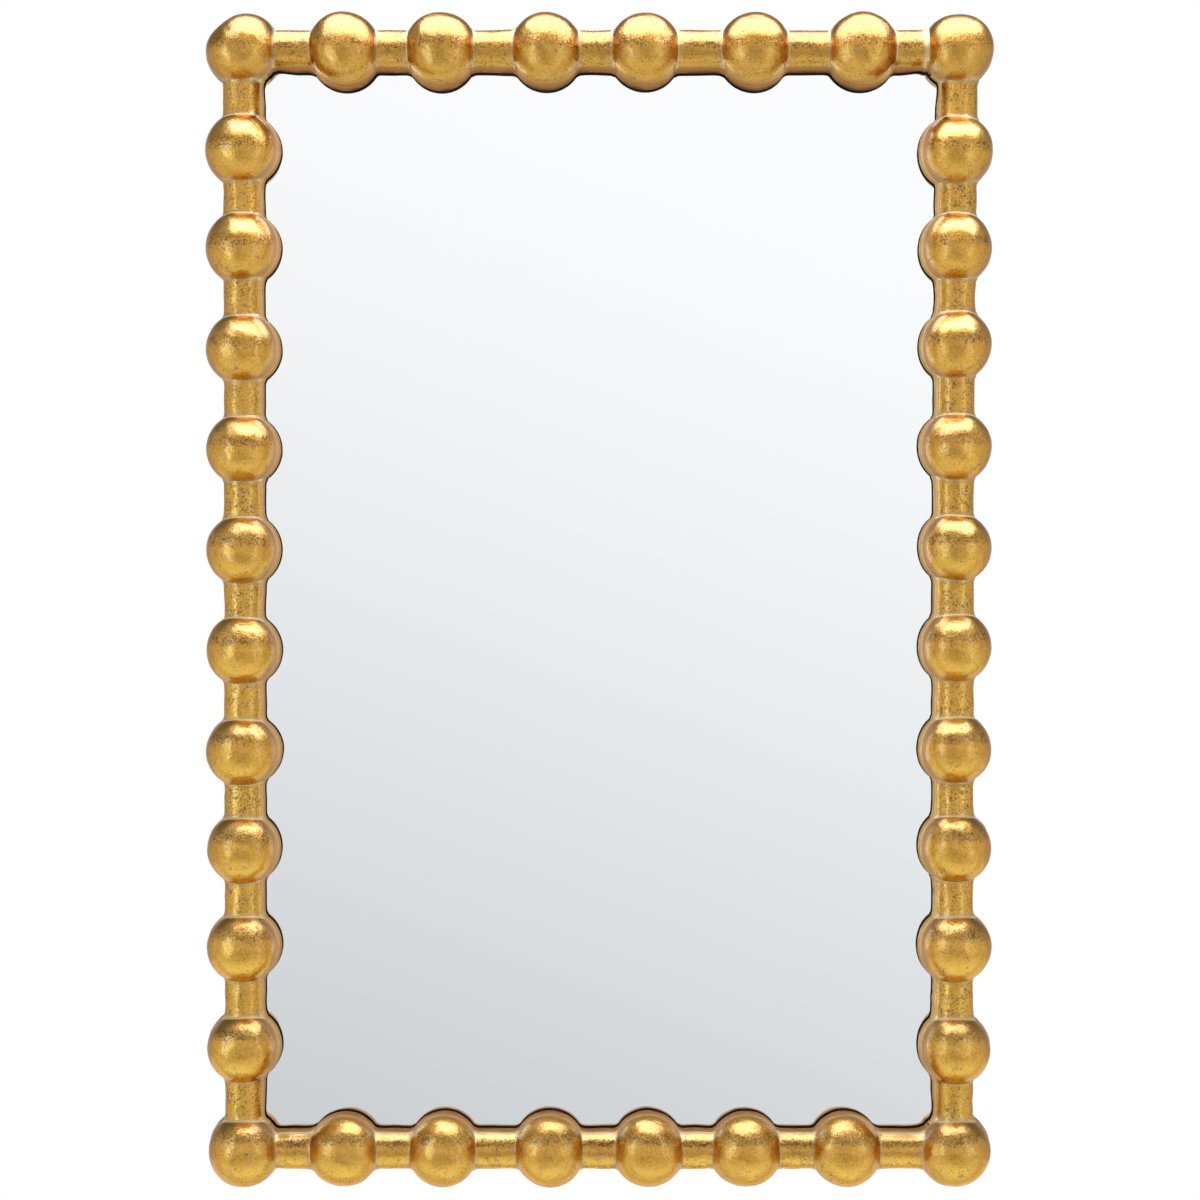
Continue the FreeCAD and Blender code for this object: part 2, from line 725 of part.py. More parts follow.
def hanger_pivots():
    """The middle of each ring's bar."""
    pivots = []
    for name, side in (("left", LEFT), ("right", RIGHT)):
        spot = f"({side.spots[HANGER_BEAD_INDEX]} + Sizes.hanger_rise)"
        x, z = side.point(spot, STRIP_SHIFT)
        pivots.append((name, x, f"({BACK_Y} + {LOOP_R})", z))
    return pivots


def make_strap(name, x, y, z):
    """A strap folded round the ring's bar, its two layers flat on the wood."""
    label = f"hanger_strap_{name}"
    body = make_body(label)
    wood = f"-{LOOP_R}"
    face = f"({wood} + 2 * Sizes.strap_sheet)"
    shoulder = "-Sizes.strap_shoulder"
    foot = "-(Sizes.strap_hole_first + Sizes.strap_hole_pitch + Sizes.strap_end)"
    side_on = ((wood, "0"), (wood, foot), (face, foot), (face, shoulder), (LOOP_R, "0"))
    offset = "-Sizes.strap_width / 2"
    plate = draw_outline(start_sketch(body, f"{label}_side", "YZ_Plane", offset), side_on)
    pad(body, f"{label}_plate", plate, "Sizes.strap_width")
    loop = draw_circle(start_sketch(body, f"{label}_round", "YZ_Plane", offset), "0", "0", LOOP_R)
    pad(body, f"{label}_loop", loop, "Sizes.strap_width")
    bore = feature(
        body,
        "SubtractiveCylinder",
        f"{label}_bore",
        turn=ALONG_X,
        at=("-Sizes.strap_width / 2 - Sizes.overrun", "0", "0"),
        Radius=f"{WIRE_R} + Sizes.ring_play",
        Height="Sizes.strap_width + 2 * Sizes.overrun",
    )
    body.Tip = bore
    for index, drop in enumerate(strap_hole_drops()):
        bore_plate(body, f"{label}_hole_{index}", "0", f"-{drop}", "2 * Sizes.strap_sheet", front=wood)
    return place(body, x, y, z)


def strap_hole_drops():
    """From the ring's bar down to each hole of the strap."""
    return ("Sizes.strap_hole_first", "(Sizes.strap_hole_first + Sizes.strap_hole_pitch)")


def make_ring(name, x, y, z):
    """A D-shaped wire ring that hangs on its bar, its bow just off the strap."""
    label = f"hanger_ring_{name}"
    body = make_body(label)
    half = f"({RING_SPAN} / 2)"
    bend = "Sizes.ring_corner"
    bow_drop = f"({RING_REACH} - {half})"
    bar_start = f"-({half} - {bend})"
    feature(body, "AdditiveCylinder", f"{label}_bar", turn=ALONG_X, at=(bar_start, "0", "0"),
            Radius=WIRE_R, Height=f"2 * ({half} - {bend})")
    for index, (right, quarter) in enumerate(((1, 0), (-1, 90))):
        turn = FACING_FRONT.multiply(Rotation(Vector(0, 0, 1), quarter))
        corner = feature(body, "AdditiveTorus", f"{label}_bend_{index}", turn=turn,
                         at=(f"{right} * ({half} - {bend})", "0", f"-{bend}"),
                         Radius1=bend, Radius2=WIRE_R)
        corner.Angle3 = 90
        feature(body, "AdditiveCylinder", f"{label}_leg_{index}", at=(f"{right} * {half}", "0", f"-{bow_drop}"),
                Radius=WIRE_R, Height=f"{bow_drop} - {bend}")
    turn = FACING_FRONT.multiply(Rotation(Vector(0, 0, 1), 180))
    bow = feature(body, "AdditiveTorus", f"{label}_bow", turn=turn, at=("0", "0", f"-{bow_drop}"),
                  Radius1=half, Radius2=WIRE_R)
    bow.Angle3 = 180
    body.Tip = bow
    place(body, x, y, z, turn=Rotation(Vector(1, 0, 0), 1))
    body.setExpression("Placement.Rotation.Angle", RING_TILT)
    return body


def make_bumper_master():
    """A round rubber pad, its rim rounded where it meets the wall."""
    body = make_body("bumper")
    disc = draw_circle(start_sketch(body, "bumper_round", "XZ_Plane"), "0", "0", "Sizes.bumper_dia / 2")
    raised = pad(body, "bumper_disc", disc, "Sizes.bumper_thick", reverse=True)
    doc.recompute()
    rim = body.newObject("PartDesign::Fillet", "bumper_rim")
    rim.Base = (raised, [face_name(raised.Shape, 1)])
    bind(rim, Radius="Sizes.bumper_round")
    body.Tip = rim
    return body


def bumper_places():
    """Behind the first and the last ball of each column, off the screws."""
    places = []
    for side in (LEFT, RIGHT):
        for index in BUMPER_BEAD_INDICES:
            x, z = side.point(side.spots[index], "Sizes.bumper_shift")
            places.append((x, BACK_Y, z, None))
    return places


def brace_turns():
    """Turn about Y, and centre, of each corner's brace."""
    angles = {"top_right": 0, "bottom_right": 90, "bottom_left": 180, "top_left": -90}
    turns = []
    for name, right, up in CORNERS:
        centre = (f"({right} * {CORNER_X})", f"({up} * {CORNER_Z})")
        turns.append((centre, Rotation(Vector(0, 1, 0), angles[name])))
    return turns


def brace_screw_places():
    """Every brace's holes, turned with their brace."""
    places = []
    for (centre_x, centre_z), turn in brace_turns():
        right = turn.multVec(Vector(1, 0, 0))
        up = turn.multVec(Vector(0, 0, 1))
        for x, z in brace_holes():
            here_x = f"({centre_x} + {x} * {round(right.x)} + {z} * {round(up.x)})"
            here_z = f"({centre_z} + {x} * {round(right.z)} + {z} * {round(up.z)})"
            places.append((here_x, here_z))
    return places


def build():
    """Make every sub-part, each with its label as its node's name."""
    parts = make_beads()
    parts += [make_rods(side) for side in SIDES]

    bead_screws = bead_screw_places()
    brace_screws = brace_screw_places()
    clips = clip_spots()
    pivots = hanger_pivots()
    strap_screws = [(x, f"({z} - {drop})") for _, x, _, z in pivots for drop in strap_hole_drops()]
    clip_screws = [hole for _, hole, _ in clips]

    bead_holes = repeat("bead_holes", make_bead_hole_cutter(), [(x, BACK_Y, z, None) for x, z in bead_screws])
    plate_spots = brace_screws + clip_screws + strap_screws
    plate_holes = repeat("plate_holes", make_plate_hole_cutter(), [(x, BACK_Y, z, None) for x, z in plate_spots])
    rebate = make_rebate()
    parts += [make_rail(side, rebate, bead_holes, plate_holes) for side in SIDES]

    foam_y = f"({LIP_Y} + Sizes.strip_thick + Sizes.glass_thick)"
    parts.append(make_strips())
    parts.append(make_glass())
    parts.append(make_sheet_part("foam_sheet", "Sizes.board_gap", "Sizes.foam_thick", foam_y))
    board_y = f"({foam_y} + Sizes.foam_thick)"
    parts.append(make_sheet_part("back_board", "Sizes.board_gap", "Sizes.board_thick", board_y))

    bead_screw = make_bead_screw()
    plate_screw = make_plate_screw()
    parts.append(repeat("bead_screws", bead_screw, [(x, BACK_Y, z, None) for x, z in bead_screws]))
    braces = [(x, BACK_Y, z, turn) for (x, z), turn in brace_turns()]
    parts.append(repeat("corner_braces", make_brace_master(), braces))
    brace_face = f"({BACK_Y} + Sizes.brace_thick)"
    parts.append(repeat("brace_screws", plate_screw, [(x, brace_face, z, None) for x, z in brace_screws]))
    board_clips = [(x, BACK_Y, z, turn) for (x, z), _, turn in clips]
    parts.append(repeat("board_clips", make_clip_master(), board_clips))
    clip_face = f"({BACK_Y} + Sizes.clip_thick)"
    parts.append(repeat("clip_screws", plate_screw, [(x, clip_face, z, None) for x, z in clip_screws]))
    for name, x, y, z in pivots:
        parts.append(make_strap(name, x, y, z))
        parts.append(make_ring(name, x, y, z))
    strap_face = f"({BACK_Y} + 2 * Sizes.strap_sheet)"
    parts.append(repeat("strap_screws", plate_screw, [(x, strap_face, z, None) for x, z in strap_screws]))
    parts.append(repeat("wall_bumpers", make_bumper_master(), bumper_places()))
    return parts


def check(parts):
    """Stop if any object failed, or any sub-part has no sound shape."""
    for thing in doc.Objects:
        if "Invalid" in thing.State or "Error" in thing.State:
            raise RuntimeError(f"{thing.Label} failed: {thing.State}")
    for part in parts:
        if part.Shape.isNull() or not part.Shape.isValid() or not part.Shape.Solids:
            raise RuntimeError(f"{part.Label} has no sound shape")


def export(parts):
    """Write one file for each sub-part."""
    os.makedirs("parts", exist_ok=True)
    for part in parts:
        part.Shape.exportStep(f"parts/{part.Label}.step")
        box = part.Shape.BoundBox
        spans = " ".join(f"{size:.2f}" for size in (box.XLength, box.YLength, box.ZLength))
        print(part.Label, "solids", len(part.Shape.Solids), "size", spans)


parts = build()
doc.recompute()
check(parts)
export(parts)
print("sub-parts", len(parts))
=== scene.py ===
import math

import bpy
import numpy as np
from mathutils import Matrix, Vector


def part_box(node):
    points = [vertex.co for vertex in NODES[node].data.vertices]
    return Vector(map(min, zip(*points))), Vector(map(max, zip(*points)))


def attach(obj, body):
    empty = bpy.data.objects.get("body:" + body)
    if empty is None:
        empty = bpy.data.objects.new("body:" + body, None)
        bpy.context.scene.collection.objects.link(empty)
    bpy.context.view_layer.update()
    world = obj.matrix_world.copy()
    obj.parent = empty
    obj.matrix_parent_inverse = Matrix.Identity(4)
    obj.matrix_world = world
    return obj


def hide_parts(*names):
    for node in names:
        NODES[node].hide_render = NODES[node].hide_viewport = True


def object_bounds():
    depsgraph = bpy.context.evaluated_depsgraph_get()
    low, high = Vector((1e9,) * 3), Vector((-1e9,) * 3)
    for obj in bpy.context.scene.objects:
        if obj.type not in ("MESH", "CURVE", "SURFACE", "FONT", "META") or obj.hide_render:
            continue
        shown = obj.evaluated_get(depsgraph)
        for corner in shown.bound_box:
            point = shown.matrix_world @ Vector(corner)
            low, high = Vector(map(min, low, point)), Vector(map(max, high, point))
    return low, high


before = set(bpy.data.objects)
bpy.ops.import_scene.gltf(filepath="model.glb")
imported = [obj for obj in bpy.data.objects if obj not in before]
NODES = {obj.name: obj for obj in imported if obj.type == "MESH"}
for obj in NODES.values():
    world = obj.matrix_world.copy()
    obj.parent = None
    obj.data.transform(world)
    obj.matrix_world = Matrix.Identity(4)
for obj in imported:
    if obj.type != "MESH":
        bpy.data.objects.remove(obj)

CAD_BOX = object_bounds()
MM = 0.001

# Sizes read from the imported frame

BALL_R = (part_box("bead_top_1")[1].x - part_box("bead_top_1")[0].x) / 2
ROD_HALF = (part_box("rods_top")[1].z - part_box("rods_top")[0].z) / 2
ROD_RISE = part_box("rods_top")[1].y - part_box("rods_top")[0].y
ROD_ROUND = (ROD_HALF ** 2 + ROD_RISE ** 2) / (2 * ROD_RISE)
ROD_SUNK = ROD_ROUND - ROD_RISE
ROD_START = math.sqrt(BALL_R ** 2 - ROD_HALF ** 2)
FRONT_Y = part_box("bead_top_1")[1].y
LIP_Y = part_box("felt_strips")[0].y
BACK_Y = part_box("back_board")[1].y
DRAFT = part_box("stile_right")[1].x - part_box("bead_corner_top_right")[1].x
STRIP_SLACK = 0.3 * MM
REBATE_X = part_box("felt_strips")[1].x + STRIP_SLACK
REBATE_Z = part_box("felt_strips")[1].z + STRIP_SLACK

# How the hand-cut shapes stray from true ones

SIZE_STRAY = 0.010             # share of a ball's radius
OVAL_STRAY = 0.012             # share of a ball's radius, as two lobes
LOBE_SHARE = 0.6               # three lobes, against the two
OVER_SHARE = 0.8               # of the walls' draft, which a ball may reach past the true one
DENT_DEPTH = 0.20 * MM
BALL_DENTS = ((34 * MM, 1.5), (11 * MM, 0.45))      # widths, and shares of the depth
ROD_STRAY = 0.0132             # share of a rod's half width
ROD_WAVE = 26 * MM
ROD_DENT_WIDTH = 13 * MM
ROD_DENT_SHARE = 0.8           # of the depth
WALL_STRAY = 0.12 * MM
WALL_WAVE = 17 * MM

# The joint of ball and rod

COLLAR_HEIGHT = 0.30 * MM      # a low ridge on the ball, round the rod
COLLAR_WIDTH = 0.8 * MM
COLLAR_OFF = 0.9 * COLLAR_WIDTH
FLARE_HEIGHT = 1.3 * MM        # the rod's widening end
FLARE_LENGTH = 1.3 * MM
ROD_SINK = 6.0 * MM            # how far the rod's end goes into the ball
COLLAR_PALE_WIDTHS = 2.4       # how far the painted shade and highlight by a joint reach on the ball, in collar widths
ROD_PALE_LENGTH = 2.2 * MM     # how far the painted shade and highlight by a joint reach on the rod
CROWN_HIGHLIGHT = 0.7               # how strong the painted highlight is on the top of a ball under a rod that goes up

# The rods' leaf

ROW_WEAR = 0.5
COLUMN_WEAR = 1.0
COLUMN_HEIGHT = -0.3           # how far a column's rods count as facing up
BOTTOM_EDGE_HIGHLIGHT = 0.70             # a painted highlight along the lower edge of the bottom row
ROD_EDGE = 0.95                # how brown the edges are, partly patina and partly painted shade

# The rails' walls, by side: lean of the inner wall, bare black part of its foot (wider on the top side as
# painted shade), and how lit its gilding is painted (painted light and shade)

WALL_LEANS = {"top": 2.8 * MM, "bottom": 1.1 * MM, "left": 2.0 * MM, "right": 2.2 * MM}
# black paint at each wall's foot, made wider on the top side as painted shade
WALL_BARE = {"top": 1.9 * MM, "bottom": 0.5 * MM, "left": 0.3 * MM, "right": 0.5 * MM}
WALL_LIGHT_SHARE = {"top": 0.1, "bottom": 0.15, "left": 0.75, "right": 1.0}
# how lit the outer walls' gilding is painted
OUTER_LIGHT_SHARE = 0.5
CORNER_LEAN = 1.2 * MM         # beside a corner ball
CORNER_SHARE = 0.5             # of a ball's radius, over which that lean goes over into the side's
MITRE_SHARE = 0.995            # how much of the way to the mitre's point a rail goes

# Small sizes of the rails' section

EDGE_ROUND = 0.3 * MM
GILDING_END = 0.2 * MM
LIP_FLAT = 1.0 * MM
BACK_FLAT = 1.2 * MM
LEAST_LIP = 0.4 * MM
LEAST_WALL = 0.02 * MM

# The glass side of the balls: how much flatter in the columns, and how much lighter the rims in the rows,
# with less of the browner rim that is partly painted shade

INNER_FLATS = {"left": 0.025, "right": 0.075}
INNER_RIM_LIFT = {"top": 0.50, "bottom": 0.30}

# Bulges and flats of the corner balls: direction in degrees from +X, spread in radians, rise as a share

BULGES = {
    "bead_corner_top_left": ((130, 0.68, -0.150), (50, 0.45, 0.045)),
    "bead_corner_top_right": ((0, 0.90, 0.055), (180, 0.80, -0.125), (95, 0.55, -0.050)),
    "bead_corner_bottom_left": ((180, 0.70, -0.045),),
}

# How far the top rods of the right side sit outside its line: heights and shifts

DRIFT_HEIGHTS = (0.08, 0.26, 0.36, 0.44)
DRIFTS = (0.0, 1.1 * MM, 1.9 * MM, 3.0 * MM)

# Mesh steps

OUTLINE_STEPS = 720
DOME_STEPS = 52
TURN_STEPS = 132
ROD_STEPS = 28
ROD_STEP_POWER = 0.7
ROD_ARC_STEPS = 44
WALL_PITCH = 1.1 * MM
SHARP_DEGREES = 50             # the angle over which an edge is sharp


# Smooth noise in space

class Waves:
    """Smooth noise: a sum of sine waves of random direction, length near `size`, and phase."""

    def __init__(self, seed, size, count=14):
        rng = np.random.default_rng(seed)
        ways = rng.normal(size=(count, 3))
        ways /= np.linalg.norm(ways, axis=1)[:, None]
        self.ways = ways * (2 * math.pi / size) * rng.uniform(0.6, 1.5, count)[:, None]
        self.phases = rng.uniform(0, 2 * math.pi, count)
        self.scale = math.sqrt(2 / count)

    def at(self, points):
        """Value at each point, about -1.5 to 1.5."""
        return np.sin(points @ self.ways.T + self.phases).sum(axis=-1) * self.scale


# The balls' places and outlines

class Ball:
    """One half ball: its centre, and how its outline strays from a circle."""

    def __init__(self, node, seed):
        low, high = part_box(node)
        self.node = node
        self.part = node.split("_")[1]
        self.x = (low.x + high.x) / 2
        self.z = (low.z + high.z) / 2
        rng = np.random.default_rng(seed)
        self.grow = rng.uniform(-SIZE_STRAY, SIZE_STRAY)
        self.oval = rng.uniform(0.2, 1, 2) * OVAL_STRAY
        self.turns = rng.uniform(0, 2 * math.pi, 2)
        self.seed = seed
        self.bulges = BULGES.get(node, ())
        self.clean = INNER_RIM_LIFT.get(self.part, 0.0)
        self.flat = INNER_FLATS.get(self.part, 0.0)
        self.flat_way = 0.0 if self.x < 0 else math.pi
        self.over = [(way, 0.0) for way in self.outer_ways(low, high)]
        angles = np.linspace(-math.pi, math.pi, OUTLINE_STEPS + 1)
        for index, (way, _) in enumerate(self.over):
            reach = (self.radius(angles) * np.cos(angles - way)).max()
            self.over[index] = (way, max(0.0, 1 - (BALL_R + OVER_SHARE * DRAFT) / reach))

    def outer_ways(self, low, high):
        """Angles of the object's own edges that the ball reaches."""
        box_low, box_high = CAD_BOX
        reaches = (high.x - box_high[0], high.z - box_high[2], box_low[0] - low.x, box_low[2] - low.z)
        ways = (0.0, math.pi / 2, math.pi, -math.pi / 2)
        return [way for reach, way in zip(reaches, ways) if reach + 2 * DRAFT > 0]

    def radius(self, angle):
        """Outline radius at an angle from +X: a circle, two- and three-lobed waves, the corner balls'
        bulges and flats, and a flatter inner side. Where it reaches the object's edge it goes past the
        true ball by no more than a share of the walls' draft."""
        wave = self.oval[0] * np.cos(2 * (angle - self.turns[0]))
        wave = wave + LOBE_SHARE * self.oval[1] * np.cos(3 * (angle - self.turns[1]))
        for way, spread, rise in self.bulges:
            off = np.angle(np.exp(1j * (angle - math.radians(way))))
            wave = wave + rise * np.exp(-((off / spread) ** 2))
        wave = wave - self.flat * np.maximum(np.cos(angle - self.flat_way), 0) ** 3
        size = BALL_R * (1 + self.grow + wave)
        for way, over in self.over:
            size = size * (1 - over * np.maximum(np.cos(angle - way), 0) ** 2)
        return size

    def half_chord(self, along, row, way):
        """Half width of the outline at a distance along the side, on its outer (+1) or inner (-1) edge:
        a circle's, corrected four times with the outline's radius at the angle found so far."""
        half = np.sqrt(np.maximum(BALL_R ** 2 - along ** 2, 0))
        for _ in range(4):
            angle = np.arctan2(way * half, along) if row else np.arctan2(along, way * half)
            half = np.sqrt(np.maximum(self.radius(angle) ** 2 - along ** 2, 0))
        return half


class Side:
    """One side of the frame: its balls in order, corners at both ends."""

    def __init__(self, name, seed):
        self.name = name
        self.wood, self.row, self.sign, _ = SIDE_FACTS[name]
        self.balls = [BALLS[node] for node in ball_names(name)]
        self.seed = seed
        self.line = self.balls[0].z if self.row else self.balls[0].x
        self.spots = np.array([ball.x if self.row else ball.z for ball in self.balls])
        self.waves = Waves(seed, ROD_WAVE)

    def rod_half(self, along):
        """Half width of the rods: a cylinder's, with a slow wave and a flare at every ball."""
        points = np.stack([along, np.zeros_like(along), np.full_like(along, self.seed)], -1)
        half = ROD_HALF * (1 + ROD_STRAY * self.waves.at(points))
        away = np.min(np.abs(along[..., None] - self.spots), axis=-1)
        from_ball = np.maximum(away - ROD_START, 0)
        return half + FLARE_HEIGHT * np.exp(-from_ball / FLARE_LENGTH)

    def drift(self, along):
        """How far outward the rods sit from the side's line."""
        return np.interp(along, DRIFT_HEIGHTS, DRIFTS) if self.name == "right" else np.zeros_like(along)

    def half_width(self, along, way):
        """Half width of the scalloped outline, on the outer (+1) or the inner (-1) edge."""
        half = self.rod_half(along) + way * self.drift(along)
        for ball, spot in zip(self.balls, self.spots):
            half = np.maximum(half, ball.half_chord(along - spot, self.row, way * self.sign))
        return half

    def corner_reach(self, step):
        """How far past the last ball's centre the outline meets the mitre line, at the low (-1) or
        high (+1) end."""
        pick = self.balls[int(np.argmin(self.spots) if step < 0 else np.argmax(self.spots))]
        angle = math.atan2(self.sign, step) if self.row else math.atan2(step, self.sign)
        return float(pick.radius(angle)) * math.sqrt(0.5) * MITRE_SHARE

    def world(self, along, outward, y):
        """Points from distances along the side, outward from its line, and y."""
        across = self.line + self.sign * outward
        parts = (along, y, across) if self.row else (across, y, along)
        return np.stack(np.broadcast_arrays(*parts), axis=-1)


# Each side's wood, whether it is a row, which way along x or z is outward, and its two corners

SIDE_FACTS = {
    "top": ("rail_top", True, 1, ("top_left", "top_right")),
    "bottom": ("rail_bottom", True, -1, ("bottom_left", "bottom_right")),
    "left": ("stile_left", False, -1, ("top_left", "bottom_left")),
    "right": ("stile_right", False, 1, ("top_right", "bottom_right")),
}


def ball_names(side):
    """Node names along a side, with its corners at both ends."""
    first, last = SIDE_FACTS[side][-1]
    count = sum(node.startswith(f"bead_{side}_") for node in NODES)
    middle = [f"bead_{side}_{index}" for index in range(1, count + 1)]
    return [f"bead_corner_{first}", *middle, f"bead_corner_{last}"]


ALL_BALLS = sorted({node for side in SIDE_FACTS for node in ball_names(side)})
BALLS = {node: Ball(node, seed) for seed, node in enumerate(ALL_BALLS, start=11)}
SIDES = [Side(name, seed) for seed, name in enumerate(SIDE_FACTS, start=101)]


# Meshes

def make_mesh(name, points, faces, attributes):
    """A mesh object from points, quads or triangles, and named values on the points."""
    mesh = bpy.data.meshes.new(name)
    mesh.from_pydata(points.tolist(), [], faces)
    for key, values in attributes.items():
        layer = mesh.attributes.new(key, "FLOAT", "POINT")
        layer.data.foreach_set("value", np.ascontiguousarray(values, dtype=np.float32))
    mesh.shade_smooth()
    mesh.update()
    piece = bpy.data.objects.new(name, mesh)
    bpy.context.scene.collection.objects.link(piece)
    return piece


def ring_faces(rows, columns):
    """Quads between rings of points, each ring closed on itself."""
    row, column = np.meshgrid(np.arange(rows - 1), np.arange(columns), indexing="ij")
    following = (column + 1) % columns
    quads = np.stack(
        [row * columns + column, row * columns + following,
         (row + 1) * columns + following, (row + 1) * columns + column], axis=-1)
    return quads.reshape(-1, 4).tolist()


def fan_faces(centre, ring, flip):
    """Triangles from a pole to a closed ring."""
    following = np.roll(ring, -1)
    pole = np.full_like(ring, centre)
    fan = (pole, following, ring) if flip else (pole, ring, following)
    return np.stack(fan, axis=-1).tolist()


def closed_tube(rings, first_pole, last_pole):
    """Points and faces of rings joined in a tube, with a pole at each end."""
    rows, columns, _ = rings.shape
    points = np.concatenate([rings.reshape(-1, 3), first_pole[None], last_pole[None]])
    faces = ring_faces(rows, columns)
    faces += fan_faces(rows * columns, np.arange(columns), True)
    faces += fan_faces(rows * columns + 1, np.arange(columns) + (rows - 1) * columns, False)
    return points, faces


def outward_faces(points, faces):
    """The same faces, turned over if the closed shell they make is inside out."""
    volume = 0.0
    for size in (3, 4):
        some = np.array([face for face in faces if len(face) == size], dtype=int).reshape(-1, size)
        for second, third in ((1, 2), (2, 3))[: size - 2]:
            a, b, c = points[some[:, 0]], points[some[:, second]], points[some[:, third]]
            volume += float(np.einsum("ij,ij->", a, np.cross(b, c)))
    return faces if volume > 0 else [face[::-1] for face in faces]


def rod_ways(ball):
    """Unit directions in x and z of the rods that leave a ball, and how far to its +x side each sits."""
    ways = []
    for side in SIDES:
        for index, member in enumerate(side.balls):
            if member is not ball:
                continue
            for step in (-1, 1):
                if 0 <= index + step < len(side.balls):
                    way = np.sign(side.spots[index + step] - side.spots[index])
                    shift = float(side.drift(np.array(side.spots[index])))
                    ways.append((way, 0.0, 0.0) if side.row else (0.0, way, shift))
    return ways


def joints_on(ball, way):
    """How high the collars round a ball's rods stand at each direction, and how near it is to a joint
    or, under a rod that goes up, to the crown's top. A collar is a bell over the distance from the
    rod's round, and the nearness a wider bell."""
    here = way * BALL_R
    collar = np.zeros(way.shape[:-1])
    crease = np.zeros(way.shape[:-1])
    for across, up, shift in rod_ways(ball):
        facing = here[..., 0] * across + here[..., 2] * up > 0
        beside = (here[..., 0] - shift) * up + here[..., 2] * across
        off_axis = np.hypot(beside, ROD_SUNK - here[..., 1])
        near = (off_axis - ROD_ROUND - COLLAR_OFF) / COLLAR_WIDTH
        collar = collar + np.where(facing, COLLAR_HEIGHT * np.exp(-near ** 2), 0)
        crease = np.maximum(crease, np.where(facing, np.exp(-((near / COLLAR_PALE_WIDTHS) ** 2)), 0))
        # under a rod that goes up, the crown's top is marked for a painted highlight
        if up > 0:
            crown = np.maximum(way[..., 2], 0) ** 6 * np.exp(-((beside / ROD_ROUND) ** 2))
            crease = np.maximum(crease, CROWN_HIGHLIGHT * crown)
    return collar, crease


def make_ball(ball):
    """A half ball on a grid of polar angle (0 at the crown in front, a quarter turn at the flat back)
    and turn about -Y. The radius goes over from a sphere's at the crown to the outline's at the back,
    by the sine squared of the polar angle. To it come shallow dents that fade towards the back, and
    a low collar round each rod. The points also carry how near they are to the rim and to a joint,
    how far they face up, and how worn the leaf is."""
    polar = np.linspace(0, math.pi / 2, DOME_STEPS + 1)[1:]
    angle = np.arange(TURN_STEPS) * 2 * math.pi / TURN_STEPS
    polar, angle = np.meshgrid(polar, angle, indexing="ij")
    way = np.stack([np.sin(polar) * np.cos(angle), -np.cos(polar), np.sin(polar) * np.sin(angle)], -1)
    rim = np.sin(polar) ** 2
    radius = BALL_R * (1 + ball.grow) * (1 - rim) + ball.radius(angle) * rim
    dents = sum(share * Waves(ball.seed * 7 + index, width).at(way * BALL_R)
                for index, (width, share) in enumerate(BALL_DENTS))
    radius = radius + DENT_DEPTH * np.sqrt(np.cos(polar)) * dents
    collar, crease = joints_on(ball, way)
    rings = way * (radius + collar)[..., None]
    rings[..., 1] *= min(1.0, BALL_R / -rings[..., 1].min())
    centre = np.array([ball.x, FRONT_Y, ball.z])
    rings = centre + rings
    apex = np.array([ball.x, rings[0, :, 1].mean(), ball.z])
    points, faces = closed_tube(rings, apex, centre)
    faces = outward_faces(points - centre, faces)
    # the rows' rims on the glass side get less of the browner rim, which is partly patina and partly
    # painted shade
    inner = np.maximum(-np.sin(angle) * np.sign(ball.z), 0)
    values = {
        "edge": np.append(rim * (1 - ball.clean * inner), [0, 1]),
        "crease": np.append(crease, [0, 0]),
        "height": np.append(way[..., 2], [0, 0]),
        "wear": np.zeros(len(points)),
    }
    piece = make_mesh(ball.node.replace("bead", "ball"), points, faces, values)
    return finish_piece(piece, (ball.node,))


def finish_piece(piece, nodes):
    """Sharpen the hard edges, ride on the frame, and stand for the CAD nodes."""
    piece.data.set_sharp_from_angle(angle=math.radians(SHARP_DEGREES))
    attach(piece, "frame")
    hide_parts(*nodes)
    return piece


